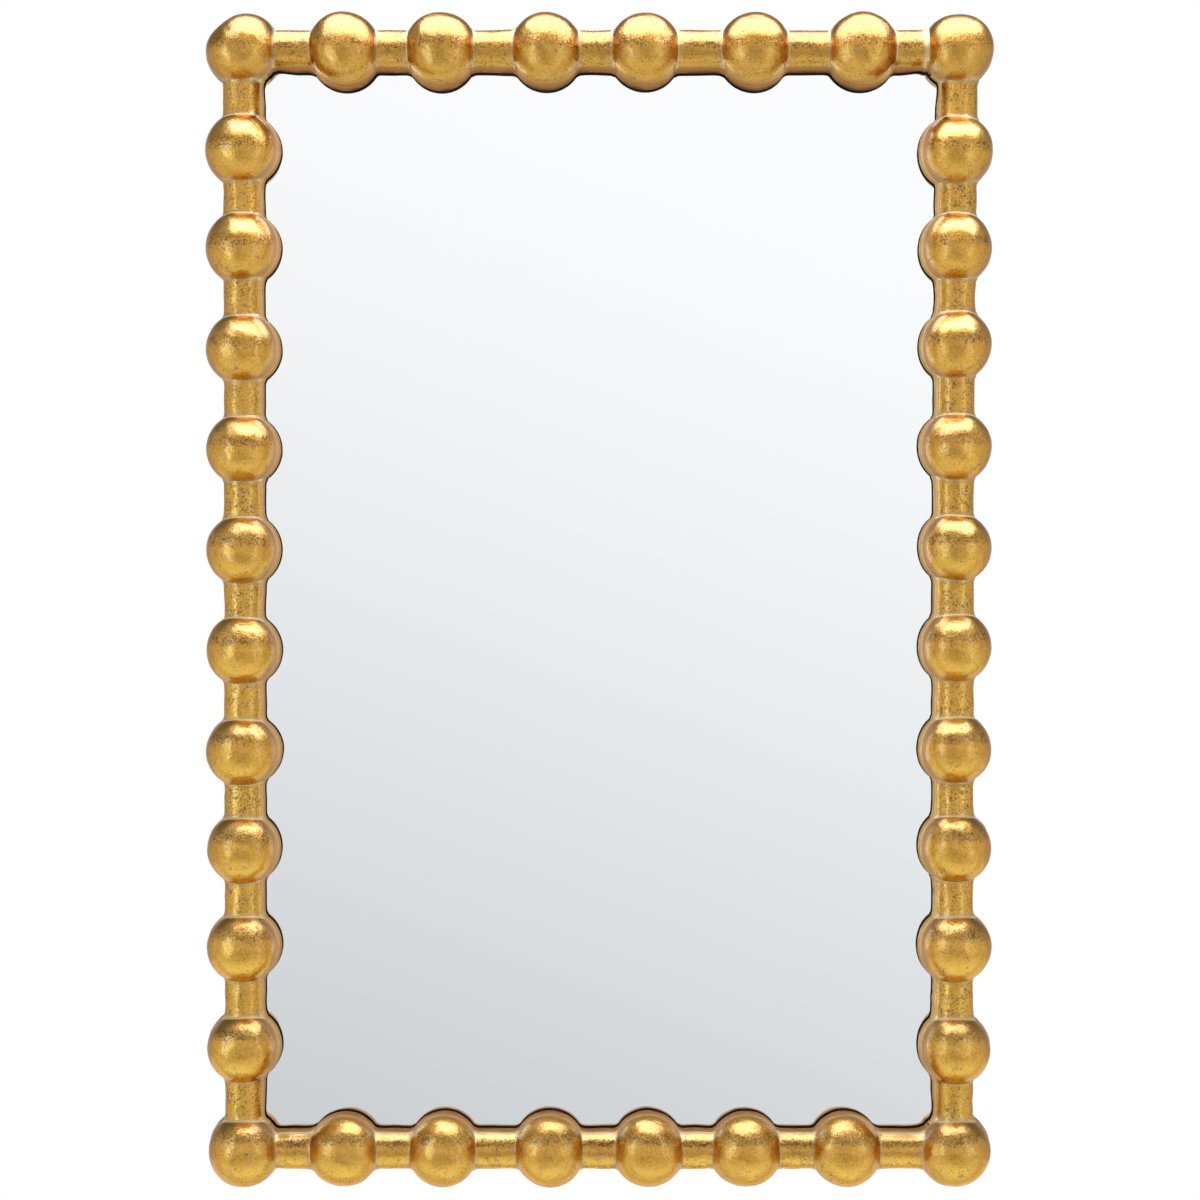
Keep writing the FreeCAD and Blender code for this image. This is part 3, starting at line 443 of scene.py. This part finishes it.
def make_rod(side, first, second):
    """One half-round rod between two balls of a side: an arc, part of a round whose axis lies behind the
    flat back, carried from ball to ball with the rod's half width and shallow dents, each end sunk a
    little way into its ball. Gives points, faces and, for each point, the same values as a ball's."""
    low = side.spots[first] + ROD_START - ROD_SINK
    high = side.spots[second] - (ROD_START - ROD_SINK)
    share = np.linspace(-1, 1, ROD_STEPS)
    share = np.sign(share) * np.abs(share) ** ROD_STEP_POWER
    along = (low + high) / 2 + share * (high - low) / 2
    span = math.asin(ROD_HALF / ROD_ROUND)
    arc = np.linspace(-span, span, ROD_ARC_STEPS)
    size = side.rod_half(along)[:, None] / ROD_HALF
    across = size * ROD_ROUND * np.sin(arc) + side.drift(along)[:, None]
    rise = size * (ROD_ROUND * np.cos(arc) - ROD_SUNK)
    waves = Waves(side.seed * 31 + int(first), ROD_DENT_WIDTH)
    bump = waves.at(side.world(along[:, None], across, FRONT_Y - rise)) * (1 - (arc / span) ** 2)
    bump = DENT_DEPTH * ROD_DENT_SHARE * bump
    rings = side.world(along[:, None], across + bump * np.sin(arc), FRONT_Y - rise - bump * np.cos(arc))
    poles = [side.world(np.array(end), np.array(0.0), np.array(FRONT_Y)) for end in (low, high)]
    points, faces = closed_tube(rings, *poles)
    faces = outward_faces(points - points.mean(axis=0), faces)
    from_ball = np.maximum(np.minimum(along - low, high - along) - ROD_SINK, 0)
    # a painted highlight along the bottom row's edge; the crease carries painted shade and highlight by
    # the balls, and the browner edges are partly patina and partly painted shade
    lit = BOTTOM_EDGE_HIGHLIGHT * (side.name == "bottom") * np.clip(-arc / span, 0, 1) ** 3
    crease = np.maximum(np.exp(-from_ball / ROD_PALE_LENGTH)[:, None], lit)
    edge = ROD_EDGE * np.abs(arc / span) ** 3
    height = np.sin(arc) * side.sign if side.row else np.full_like(arc, COLUMN_HEIGHT)
    values = {
        "edge": np.append(np.broadcast_to(edge, crease.shape), [1, 1]),
        "crease": np.append(crease, [1, 1]),
        "height": np.append(np.broadcast_to(height, crease.shape), [0, 0]),
        "wear": np.full(len(points), ROW_WEAR if side.row else COLUMN_WEAR),
    }
    return points, faces, values


def make_rods(side):
    """All rods of a side, as one piece."""
    order = np.argsort(side.spots)
    rods = [make_rod(side, first, second) for first, second in zip(order[:-1], order[1:])]
    points = np.concatenate([rod[0] for rod in rods])
    starts = np.cumsum([0] + [len(rod[0]) for rod in rods]).tolist()
    faces = [[index + start for index in face]
             for start, rod in zip(starts, rods) for face in rod[1]]
    values = {key: np.concatenate([rod[2][key] for rod in rods]) for key in rods[0][2]}
    piece = make_mesh(f"gilt_rods_{side.name}", points, faces, values)
    return finish_piece(piece, (f"rods_{side.name}",))


def wall_profile(inner, outer, rebate, lean, bare, pale):
    """Closed section of a rail: front, inner wall, lip, rebate, back and outer wall, as outward distances
    and y, with values that say how gilded each point is and how lit its gilding is painted, which is
    painted light and shade."""
    lip = LIP_Y - FRONT_Y
    low = inner - lean
    wide = outer + DRAFT
    last = 1 - bare / lip
    rows = [(inner - share * lean, FRONT_Y + share * lip, 1, pale) for share in (0, 0.3, 0.6, last)]
    rows += [
        (low + 0.1 * EDGE_ROUND, LIP_Y - bare + GILDING_END, 0, pale),
        (low, LIP_Y - 0.2 * EDGE_ROUND, 0, pale),
        (low + 0.25 * EDGE_ROUND, LIP_Y, 0, 0),
        (low + LIP_FLAT, LIP_Y, 0, 0),
        (rebate, LIP_Y, 0, 0),
        (rebate, BACK_Y, 0, 0),
        (wide - BACK_FLAT, BACK_Y, 0, 0),
        (wide - EDGE_ROUND, BACK_Y, 0.5, OUTER_LIGHT_SHARE),
        (wide, BACK_Y - EDGE_ROUND, 1, OUTER_LIGHT_SHARE),
        (wide, LIP_Y, 1, OUTER_LIGHT_SHARE),
    ]
    rows += [(outer + share * DRAFT, FRONT_Y + share * lip, 1, OUTER_LIGHT_SHARE) for share in (0.6, 0.3, 0)]
    across = np.stack([np.broadcast_to(row[0], inner.shape) for row in rows], axis=1)
    depth, gilded, pale = (np.array([row[index] for row in rows], dtype=float) for index in (1, 2, 3))
    return across, depth, gilded, pale


def make_rail(side):
    """A scalloped rail: the section carried along the side, its inner and outer walls following the
    outline with a faint waviness, and both ends brought to the mitre by clipping the section against
    a 45 degree line."""
    low, high = side.spots.min(), side.spots.max()
    start, end = low - side.corner_reach(-1), high + side.corner_reach(1)
    along = np.linspace(start, end, int((end - start) / WALL_PITCH))
    mitre = np.maximum(along - high, low - along)
    inner = np.maximum(-side.half_width(along, -1), mitre)
    outer = np.maximum(side.half_width(along, 1), inner + LEAST_WALL)
    line = REBATE_Z if side.row else REBATE_X
    rebate = np.maximum(line - abs(side.line), inner + LEAST_LIP)
    from_corner = np.minimum(high - along, along - low) / BALL_R
    from_corner = np.clip((from_corner - 1) / CORNER_SHARE, 0, 1)
    lean = CORNER_LEAN * (1 - from_corner) + WALL_LEANS[side.name] * from_corner
    across, depth, gilded, pale = wall_profile(
        inner, outer, rebate, lean, WALL_BARE[side.name], WALL_LIGHT_SHARE[side.name])
    across = np.clip(across, mitre[:, None], (outer + DRAFT)[:, None])
    rings = side.world(along[:, None], across, depth[None])
    stray = WALL_STRAY * Waves(side.seed * 53, WALL_WAVE).at(rings) * (gilded > 0.9)
    rings = side.world(along[:, None], across + stray, depth[None])
    rings = np.clip(rings, np.array(CAD_BOX[0]), np.array(CAD_BOX[1]))
    points, faces = closed_tube(rings, rings[0].mean(axis=0), rings[-1].mean(axis=0))
    faces = outward_faces(points - points.mean(axis=0), faces)
    values = {
        "gilded": np.append(np.broadcast_to(gilded, across.shape), [0, 0]),
        "pale": np.append(np.broadcast_to(pale, across.shape), [0, 0]),
    }
    piece = make_mesh(f"gilt_{side.wood}", points, faces, values)
    return finish_piece(piece, (side.wood,))


# Shader maths

class Value:
    """A socket whose sums and products add Math nodes."""

    def __init__(self, tree, socket):
        self.tree = tree
        self.socket = socket

    def _math(self, operation, *others):
        inputs = dict(enumerate((self, *others)))
        return self.tree.node("ShaderNodeMath", {"operation": operation}, inputs)

    def __add__(self, other):
        return self._math("ADD", other)

    __radd__ = __add__

    def __mul__(self, other):
        return self._math("MULTIPLY", other)

    __rmul__ = __mul__

    def __sub__(self, other):
        return self._math("SUBTRACT", other)

    def __rsub__(self, other):
        return self.tree.node("ShaderNodeMath", {"operation": "SUBTRACT"}, {0: other, 1: self})

    def above(self, low, high):
        """0 under low, 1 over high, smooth between."""
        settings = {"interpolation_type": "SMOOTHSTEP"}
        inputs = {"Value": self, "From Min": low, "From Max": high}
        return self.tree.node("ShaderNodeMapRange", settings, inputs)

    def most(self, other):
        """The larger of the two."""
        return self._math("MAXIMUM", other)


class Tree:
    """The nodes of one material or world, added by type, settings and inputs."""

    def __init__(self, owner):
        owner.use_nodes = True
        self.nodes = owner.node_tree.nodes
        self.links = owner.node_tree.links
        self.nodes.clear()

    def node(self, kind, settings, inputs, output=0):
        """One node: settings first, then each input's value or link."""
        made = self.nodes.new(kind)
        for key, value in settings.items():
            setattr(made, key, value)
        for key, value in inputs.items():
            self.feed(made.inputs[key], value)
        return Value(self, made.outputs[output])

    def feed(self, socket, value):
        """Link a value to a socket, or set it there."""
        if isinstance(value, Value):
            self.links.new(value.socket, socket)
        else:
            socket.default_value = value

    def place(self):
        """Object coordinates, which are the frame's own."""
        return self.node("ShaderNodeTexCoord", {}, {}, "Object")

    def axis(self, name, at=None):
        """One coordinate of the place, or of another vector."""
        return self.node("ShaderNodeSeparateXYZ", {}, {"Vector": at or self.place()}, name)

    def ray(self, kind):
        """1 for rays of a kind, else 0."""
        return self.node("ShaderNodeLightPath", {}, {}, kind)

    def attribute(self, name):
        """A value that the mesh carries on its points."""
        return self.node("ShaderNodeAttribute", {"attribute_name": name}, {}, "Fac")

    def noise(self, scale, detail, rough, at=None, distortion=0.0):
        """Fractal noise of about one feature per 1/scale metres."""
        inputs = {"Vector": at or self.place(), "Scale": scale, "Detail": detail, "Roughness": rough,
                  "Distortion": distortion}
        return self.node("ShaderNodeTexNoise", {}, inputs, "Fac")

    def cells(self, scale, at, output):
        """Cells scattered about one per 1/scale metres."""
        return self.node("ShaderNodeTexVoronoi", {}, {"Vector": at, "Scale": scale}, output)

    def stretched(self, at, scale):
        """A place with its axes scaled."""
        return self.node("ShaderNodeMapping", {}, {"Vector": at, "Scale": scale})

    def mixed(self, share, first, second):
        """One shader going over into another."""
        return self.node("ShaderNodeMixShader", {}, {0: share, 1: first, 2: second})

    def principled(self, varying, constants):
        """A Principled shader: its fixed inputs, and the linked ones that varying(tree) gives."""
        inputs = {key.replace("_", " "): value for key, value in constants.items()}
        return self.node("ShaderNodeBsdfPrincipled", {}, {**inputs, **varying(self)})

    def surface(self, shader, output="ShaderNodeOutputMaterial"):
        """Bring a shader to the output."""
        self.feed(self.nodes.new(output).inputs["Surface"], shader)

    def blend(self, share, first, second):
        """One colour going over into another, through the Mix node's colour sockets."""
        return self.node("ShaderNodeMix", {"data_type": "RGBA"}, {0: share, 6: first, 7: second}, 2)

    def bump(self, height, distance, strength, normal=None):
        """A height in 0 to 1 of a depth in metres, as a normal."""
        inputs = {"Height": height, "Distance": distance, "Strength": strength}
        if normal is not None:
            inputs["Normal"] = normal
        return self.node("ShaderNodeBump", {}, inputs)


def make_material(name, varying, **constants):
    """A material of one Principled shader."""
    material = bpy.data.materials.new(name)
    tree = Tree(material)
    tree.surface(tree.principled(varying, constants))
    return material


# Gilding colours, as linear light

LEAF_BRIGHT = (0.82, 0.452, 0.060, 1)
LEAF_WARM = (0.53, 0.247, 0.025, 1)
# painted bounce light on the leaf where it faces down
LEAF_UNDERLIT = (0.96, 0.59, 0.078, 1)
# painted highlight on the leaf where it faces up
LEAF_CROWN_HIGHLIGHT = (0.96, 0.63, 0.19, 1)
LEAF_COOL = (0.42, 0.28, 0.13, 1)
# painted shade below a joint
LEAF_JOINT_SHADE = (0.46, 0.32, 0.15, 1)
# bole, for specks and holes, and also for painted shade on the upper rims and the top row
BOLE = (0.20, 0.088, 0.014, 1)
BOLE_DARK = (0.040, 0.016, 0.006, 1)
# brown of the balls' and rods' rims, partly patina and partly painted shade; also the walls' brown
# patches
RIM_BROWN = (0.54, 0.270, 0.100, 1)
# painted highlight by the joints and on the crowns
CREASE_HIGHLIGHT = (0.98, 0.76, 0.30, 1)
# the walls' gilding in shaded and lit copies, and darker copies for near the lip: painted light and shade
WALL_GOLD_SHADED = (0.54, 0.225, 0.056, 1)
WALL_GOLD_LIT = (0.88, 0.54, 0.17, 1)
WALL_GOLD_SHADED_DEEP = (0.30, 0.125, 0.034, 1)
WALL_GOLD_LIT_DEEP = (0.50, 0.34, 0.15, 1)

# The gilding's markings, by how many go in a metre, and the depths of its relief

BROAD = 38.0
PATCHES = 130.0
MOTTLES = 420.0
GRAINS = 600.0
DIMPLE_DEPTH = 0.26 * MM
CRINKLE_DEPTH = 0.14 * MM
GRAIN_DEPTH = 0.30 * MM

# Heights in the frame that the leaf changes with

TOP_ROW = (0.37, 0.42)         # where painted shade grows towards the top row
HEAD = 0.45                    # the ends of its slow change down the frame
FOOT = -0.45


def leaf_inputs(tree, edge, crease, height, wear):
    """Leaf over bole. The leaf is bright and warm in fine mottles, with cooler patches. It is painted
    yellower where it faces down, more so towards the frame's foot, as painted bounce light, and paler
    where it faces up, as a painted highlight. Specks and holes show the bole, most where the leaf is worn
    and on the shoulders that face a little up, a band that follows the highlight's lower edge down the
    frame and is painted shade. Rims are browner, partly patina and partly painted shade, and the upper
    rims and all of the top row are darkened as painted shade. By a joint the leaf is duller below, as
    painted shade, and paler above, as a painted highlight. Three depths of crinkle lie over it."""
    place = tree.place()
    broad = tree.noise(BROAD, 3.0, 0.55, place)
    patch = tree.noise(PATCHES, 4.0, 0.6, place)
    mottle = tree.noise(MOTTLES, 4.0, 0.65, place, 0.6)
    grain = tree.noise(GRAINS, 2.0, 0.6, place, 0.4)
    level = tree.axis("Z", place)
    low = level.above(HEAD, FOOT)
    top = level.above(*TOP_ROW)

    # Leaf colour, with painted bounce light underneath and a painted highlight on top
    under = (0.0 - height + 0.6 * (broad - 0.5)).above(-0.05, 0.75)
    colour = tree.blend((mottle * 0.5 + grain * 0.5).above(0.38, 0.62), LEAF_WARM, LEAF_BRIGHT)
    colour = tree.blend(under * (0.15 + 0.65 * low), colour, LEAF_UNDERLIT)
    colour = tree.blend(patch.above(0.54, 0.72) * 0.4, colour, LEAF_COOL)
    # painted highlight: paler leaf where it faces up, less towards the foot
    colour = tree.blend(height.above(0.15, 0.50) * (0.42 - 0.20 * low), colour, LEAF_CROWN_HIGHLIGHT)

    # Worn places, and a band of painted shade under the highlight
    # the shoulder band follows the highlight's lower edge down the frame: painted shade, alongside the
    # leaf's real wear
    below = height - 0.42 * low
    shoulder = below.above(-0.22, 0.02) * (1 - below.above(0.14, 0.34))
    rubbed = (broad * 0.5 + patch * 0.5).above(0.44, 0.60)
    worn = shoulder * 0.65 + rubbed * 0.35
    specks = (grain * 0.7 + mottle * 0.3 + 0.09 * worn + 0.03 * wear).above(0.545, 0.605)
    holes = (grain * 0.5 + mottle * 0.2 + patch * 0.3).above(0.62, 0.65)
    colour = tree.blend(specks * (0.44 - 0.12 * low + 0.54 * worn + 0.28 * wear), colour, BOLE)
    colour = tree.blend(holes * 0.7, colour, BOLE_DARK)

    # Rims, browner as partly patina and partly painted shade, and painted shade on the upper rims and
    # over the top row
    rim = edge.above(0.68, 0.94)
    painted_dimming = (0.48 + 0.36 * top) * height.above(0.0, 0.5) * edge.above(0.50, 0.86)
    painted_dimming = painted_dimming.most(top * (0.08 + 0.24 * height.above(-0.1, 0.5)))
    colour = tree.blend(rim * 0.78, colour, RIM_BROWN)
    colour = tree.blend(painted_dimming, colour, BOLE)

    # Joints: painted shade below, painted highlight above
    joint_shade = crease.above(0.04, 0.45) * (1 - height.above(0.10, 0.45))
    crest_highlight = crease.above(0.10, 0.60) * height.above(0.35, 0.80)
    colour = tree.blend(joint_shade * 0.6, colour, LEAF_JOINT_SHADE)
    colour = tree.blend((crease.above(0.25, 0.9) * 0.4).most(crest_highlight * 0.8), colour, CREASE_HIGHLIGHT)

    # Relief and shine
    normal = tree.bump(tree.noise(PATCHES, 1.0, 0.5, place), DIMPLE_DEPTH, 0.7)
    normal = tree.bump(tree.noise(MOTTLES, 1.0, 0.5, place), CRINKLE_DEPTH, 0.8, normal)
    normal = tree.bump(grain, GRAIN_DEPTH, 0.9, normal)
    rough = 0.25 + 0.07 * mottle + 0.08 * specks + 0.20 * holes + 0.08 * rim
    # the crest's painted highlight is made mostly matte, so the direct light makes it cream
    metal = (1.0 - 0.6 * holes) * (1.0 - 0.85 * crest_highlight)
    return {"Base Color": colour, "Roughness": rough, "Normal": normal, "Metallic": metal}


def gold_leaf():
    """Burnished, lacquered leaf on the balls and rods."""
    def varying(tree):
        edge, crease, height, wear = map(tree.attribute, ("edge", "crease", "height", "wear"))
        return leaf_inputs(tree, edge, crease, height, wear)
    return make_material("gold_leaf", varying, Coat_Weight=0.65, Coat_Roughness=0.16,
                         Specular_Tint=(0.85, 0.55, 0.32, 1))


def gilded_wall():
    """Thin gilding on the rails' walls, brown to peach by each side's painted light share and darker
    towards the lip as painted shade, and black paint in the rebate and on the back."""
    def varying(tree):
        place = tree.place()
        gilded = tree.attribute("gilded").above(0.45, 0.55)
        patch = tree.noise(PATCHES, 4.0, 0.6, place)
        mottle = tree.noise(MOTTLES, 4.0, 0.65, place, 0.6)
        # painted shade: the gilding goes darker from the front towards the lip
        lip_shade = (tree.axis("Y", place) + 4 * MM * patch).above(FRONT_Y + 3 * MM, LIP_Y)
        # each side's painted light share picks between the shaded and the lit copy
        pale = tree.attribute("pale")
        gold = tree.blend(lip_shade, tree.blend(pale, WALL_GOLD_SHADED, WALL_GOLD_LIT),
                          tree.blend(pale, WALL_GOLD_SHADED_DEEP, WALL_GOLD_LIT_DEEP))
        gold = tree.blend(mottle.above(0.50, 0.66) * 0.5, gold, RIM_BROWN)
        paint = tree.blend(mottle, (0.010, 0.008, 0.007, 1), (0.024, 0.019, 0.016, 1))
        grain = tree.noise(60.0, 5.0, 0.7, place, 0.3)
        normal = tree.bump(mottle * 0.7 + grain * 0.3, 0.3 * MM, 0.6)
        return {"Base Color": tree.blend(gilded, paint, gold), "Metallic": gilded,
                "Roughness": 0.60 - 0.28 * gilded + 0.12 * mottle, "Normal": normal}
    return make_material("gilded_wall", varying, Specular_Tint=(0.95, 0.78, 0.6, 1))


def silvered_glass():
    """Polished mirror with the faintest haze."""
    def varying(tree):
        haze = tree.noise(14.0, 4.0, 0.6)
        tone = tree.blend(haze, (0.980, 0.985, 0.988, 1), (0.988, 0.992, 0.994, 1))
        return {"Base Color": tone, "Roughness": haze.above(0.55, 0.9) * 0.02}
    return make_material("silvered_glass", varying, Metallic=1.0)


def speckled(name, dark, light, scale, rough, depth):
    """A plain finish with its own grain: two close colours mixed by noise, and a fine bump."""
    def varying(tree):
        place = tree.place()
        fine = tree.noise(scale, 5.0, 0.65, place)
        broad = tree.noise(scale / 14, 3.0, 0.5, place)
        colour = tree.blend((fine * 0.6 + broad * 0.4).above(0.36, 0.64), (*dark, 1), (*light, 1))
        return {"Base Color": colour, "Roughness": rough - 0.1 + 0.2 * fine,
                "Normal": tree.bump(fine, depth, 0.6)}
    return make_material(name, varying)


def hardboard():
    """Smooth brown board with pressed fibres."""
    def varying(tree):
        place = tree.place()
        fibre = tree.noise(900.0, 5.0, 0.7, place, 2.0)
        tuft = tree.cells(420.0, place, "Distance")
        broad = tree.noise(9.0, 4.0, 0.6, place)
        pressed = (fibre * 0.6 + tuft * 0.4).above(0.3, 0.7)
        colour = tree.blend(pressed, (0.150, 0.074, 0.035, 1), (0.215, 0.115, 0.057, 1))
        colour = tree.blend(broad.above(0.45, 0.75) * 0.35, colour, (0.30, 0.18, 0.10, 1))
        return {"Base Color": colour, "Roughness": 0.48 + 0.2 * fibre,
                "Normal": tree.bump(fibre, 0.06 * MM, 0.7)}
    return make_material("hardboard", varying)


def zinc(name, scale, rough):
    """Zinc plate: crystal patches, and fine brushing."""
    def varying(tree):
        place = tree.place()
        lines = tree.noise(4000.0, 2.0, 0.6, tree.stretched(place, (1, 1, 0.08)))
        crystal = tree.cells(scale, place, "Color")
        tone = tree.node("ShaderNodeSeparateColor", {}, {"Color": crystal}, "Red")
        colour = tree.blend(tone * 0.6 + lines * 0.4, (0.50, 0.51, 0.50, 1), (0.70, 0.70, 0.67, 1))
        return {"Base Color": colour, "Roughness": rough + 0.14 * lines + 0.06 * tone,
                "Normal": tree.bump(lines, 0.01 * MM, 0.5)}
    return make_material(name, varying, Metallic=1.0)


def dress(material, *nodes):
    """Give CAD nodes a material."""
    for node in nodes:
        slots = NODES[node].material_slots
        if not slots:
            NODES[node].data.materials.append(material)
        for slot in slots:
            slot.material = material


# Plain finishes: dark and light, how many grains go in a metre, roughness, depth of the grain

PLAIN_FINISHES = {
    "felt_strips": ("black_felt", (0.008, 0.008, 0.008), (0.030, 0.029, 0.028), 1500, 0.92, 0.25 * MM),
    "foam_sheet": ("white_foam", (0.62, 0.62, 0.60), (0.76, 0.76, 0.74), 800, 0.8, 0.2 * MM),
    "wall_bumpers": ("bumper_rubber", (0.016, 0.016, 0.017), (0.034, 0.033, 0.032), 500, 0.6, 0.06 * MM),
}


def dress_all():
    """A finish for every CAD node that stays in view."""
    dress(silvered_glass(), "mirror_glass")
    for node, finish in PLAIN_FINISHES.items():
        dress(speckled(*finish), node)
    dress(hardboard(), "back_board")
    dress(zinc("zinc_plate", 260.0, 0.30),
          "corner_braces", "board_clips", "hanger_strap_left", "hanger_strap_right")
    dress(zinc("zinc_wire", 500.0, 0.22), "hanger_ring_left", "hanger_ring_right")
    dress(zinc("zinc_screws", 420.0, 0.26), "bead_screws", "brace_screws", "clip_screws", "strap_screws")


# Studio

VIEW_WIDTH = 0.9333            # what the picture takes in, in the plane of the rails' fronts
CAMERA_AWAY = 2.10
CAMERA_UP = 0.030
CAMERA_AIM = (0.0008, FRONT_Y, 0.0009)
SENSOR = 36.0
FLOOR_Z = -1.2
FLOOR_RADII = (2.5, 1.6, 0.8)
FLOOR_STEPS = 96

# Softboxes: centre, what they look at, width and height, power, colour

LAMPS = {
    "overhead": ((0.155, -0.08, 0.825), (0.155, 0.274, -0.11), (1.40, 0.706), 10.9, (0.95, 1.0, 1.45)),
    "left_fill": ((-1.06, -0.88, 0.0), (0.0, 0.0, 0.0), (0.35, 1.2), 2.6, (0.60, 0.90, 1.5)),
    "right_fill": ((1.06, -0.88, 0.0), (0.0, 0.0, 0.0), (0.35, 1.2), 1.2, (0.65, 0.90, 1.4)),
}

# The studio's two dark walls as they shine back: direction, and how dark

DARK_WALLS = (((-0.62, 0.40, 0.67), 0.45), ((0.62, 0.48, 0.62), 0.30))
DARK_FULL = math.cos(math.radians(12))      # a wall is dark up to this angle from its middle
DARK_END = math.cos(math.radians(38))       # and fades out by this one


def make_camera():
    """A long lens in front of the mirror, a little above its middle, that looks at the middle."""
    data = bpy.data.cameras.new("camera")
    data.sensor_width = SENSOR
    data.lens = SENSOR * (CAMERA_AWAY + FRONT_Y) / VIEW_WIDTH
    data.clip_end = 50
    camera = bpy.data.objects.new("camera", data)
    bpy.context.scene.collection.objects.link(camera)
    camera.location = (0.0, -CAMERA_AWAY, CAMERA_UP)
    aim = Vector(CAMERA_AIM) - camera.location
    camera.rotation_euler = aim.to_track_quat("-Z", "Y").to_euler()
    bpy.context.scene.camera = camera


def make_lamp(name, centre, aim, size, power, colour):
    """A rectangular softbox that looks at a point."""
    data = bpy.data.lights.new(name, "AREA")
    data.shape = "RECTANGLE"
    data.size, data.size_y = size
    data.energy = power
    data.color = colour
    lamp = bpy.data.objects.new(name, data)
    bpy.context.scene.collection.objects.link(lamp)
    lamp.location = centre
    lamp.visible_camera = False
    turn = (Vector(aim) - Vector(centre)).to_track_quat("-Z", "Y")
    lamp.rotation_euler = turn.to_euler()


def floor_paint():
    """Pale paint. Glossy rays see it glow instead, as a painted reflection: grey far in front, white
    nearer, grey under the mirror and white behind it."""
    paint = bpy.data.materials.new("floor_paint")
    tree = Tree(paint)

    def varying(tree):
        fine = tree.noise(30.0, 4.0, 0.6)
        return {"Base Color": tree.blend(fine, (0.80, 0.80, 0.79, 1), (0.84, 0.84, 0.83, 1))}

    seen = tree.principled(varying, {"Roughness": 0.7})
    back = tree.axis("Y")
    tone = tree.blend(back.above(-2.0, -0.6), (0.62, 0.62, 0.62, 1), (1.06, 1.12, 1.12, 1))
    tone = tree.blend(back.above(-0.2, 0.2), tone, (0.62, 0.59, 0.57, 1))
    tone = tree.blend(back.above(0.25, 0.6), tone, (1.0, 1.0, 0.98, 1))
    glow = tree.node("ShaderNodeEmission", {}, {"Color": tone, "Strength": 1.0})
    tree.surface(tree.mixed(tree.ray("Is Glossy Ray"), seen, glow))
    return paint


def make_floor():
    """A pale round floor, well under the mirror: rings of points at three radii, and its middle."""
    turn = np.arange(FLOOR_STEPS) * 2 * math.pi / FLOOR_STEPS
    radius, turn = np.meshgrid(FLOOR_RADII, turn, indexing="ij")
    rings = np.stack([radius * np.cos(turn), radius * np.sin(turn), np.full_like(turn, FLOOR_Z)], axis=-1)
    points = np.concatenate([rings.reshape(-1, 3), [[0, 0, FLOOR_Z]]])
    inmost = np.arange(FLOOR_STEPS) + (len(FLOOR_RADII) - 1) * FLOOR_STEPS
    faces = ring_faces(len(FLOOR_RADII), FLOOR_STEPS) + fan_faces(len(points) - 1, inmost, False)
    floor = make_mesh("floor", points, faces, {})
    floor.data.materials.append(floor_paint())


def make_world():
    """White behind the mirror. What shines back from it is a studio: grey rising to white in front and
    to the right, dimmer overhead and behind, and dark walls up on either side."""
    world = bpy.data.worlds.new("studio")
    bpy.context.scene.world = world
    tree = Tree(world)
    way = tree.node("ShaderNodeTexCoord", {}, {}, "Generated")
    x, y, z = (tree.axis(name, way) for name in "XYZ")
    slope = (z + 0.36 * x).above(-0.5, 0.22)
    front = (0.0 - y).above(0.82, 0.94)
    shade = (1 - 0.45 * z.above(0.3, 0.6)) * (1 - 0.22 * y.above(-0.1, 0.6))
    for aim, dark in DARK_WALLS:
        towards = x * aim[0] + y * aim[1] + z * aim[2]
        shade = shade * (1 - dark * towards.above(DARK_END, DARK_FULL))
    grey = tree.blend(slope, (0.445, 0.480, 0.500, 1), (0.978, 0.986, 1.0, 1))
    grey = tree.blend(front, (0.84, 0.85, 0.86, 1), grey)
    dim = tree.blend(shade, (0.0, 0.0, 0.0, 1), grey)

    def glow(colour, strength):
        return tree.node("ShaderNodeBackground", {}, {"Color": colour, "Strength": strength})

    lit = tree.mixed(tree.ray("Is Glossy Ray"), glow((1.0, 0.995, 0.97, 1), 0.50), glow(dim, 1.0))
    through = tree.ray("Is Camera Ray").most(tree.ray("Is Transmission Ray"))
    tree.surface(tree.mixed(through, lit, glow((1, 1, 1, 1), 1.0)), "ShaderNodeOutputWorld")


def make_studio():
    """Camera, floor, world, a wide softbox overhead and a weak one on each side."""
    make_camera()
    make_floor()
    make_world()
    for name, facts in LAMPS.items():
        make_lamp(name, *facts)


# The whole

def build():
    """The studio, the gilded pieces, and the finishes of the CAD's own."""
    make_studio()
    leaf = gold_leaf()
    wall = gilded_wall()
    for ball in BALLS.values():
        make_ball(ball).data.materials.append(leaf)
    for side in SIDES:
        make_rods(side).data.materials.append(leaf)
        make_rail(side).data.materials.append(wall)
    dress_all()
    bpy.context.scene.view_settings.view_transform = "Standard"


build()
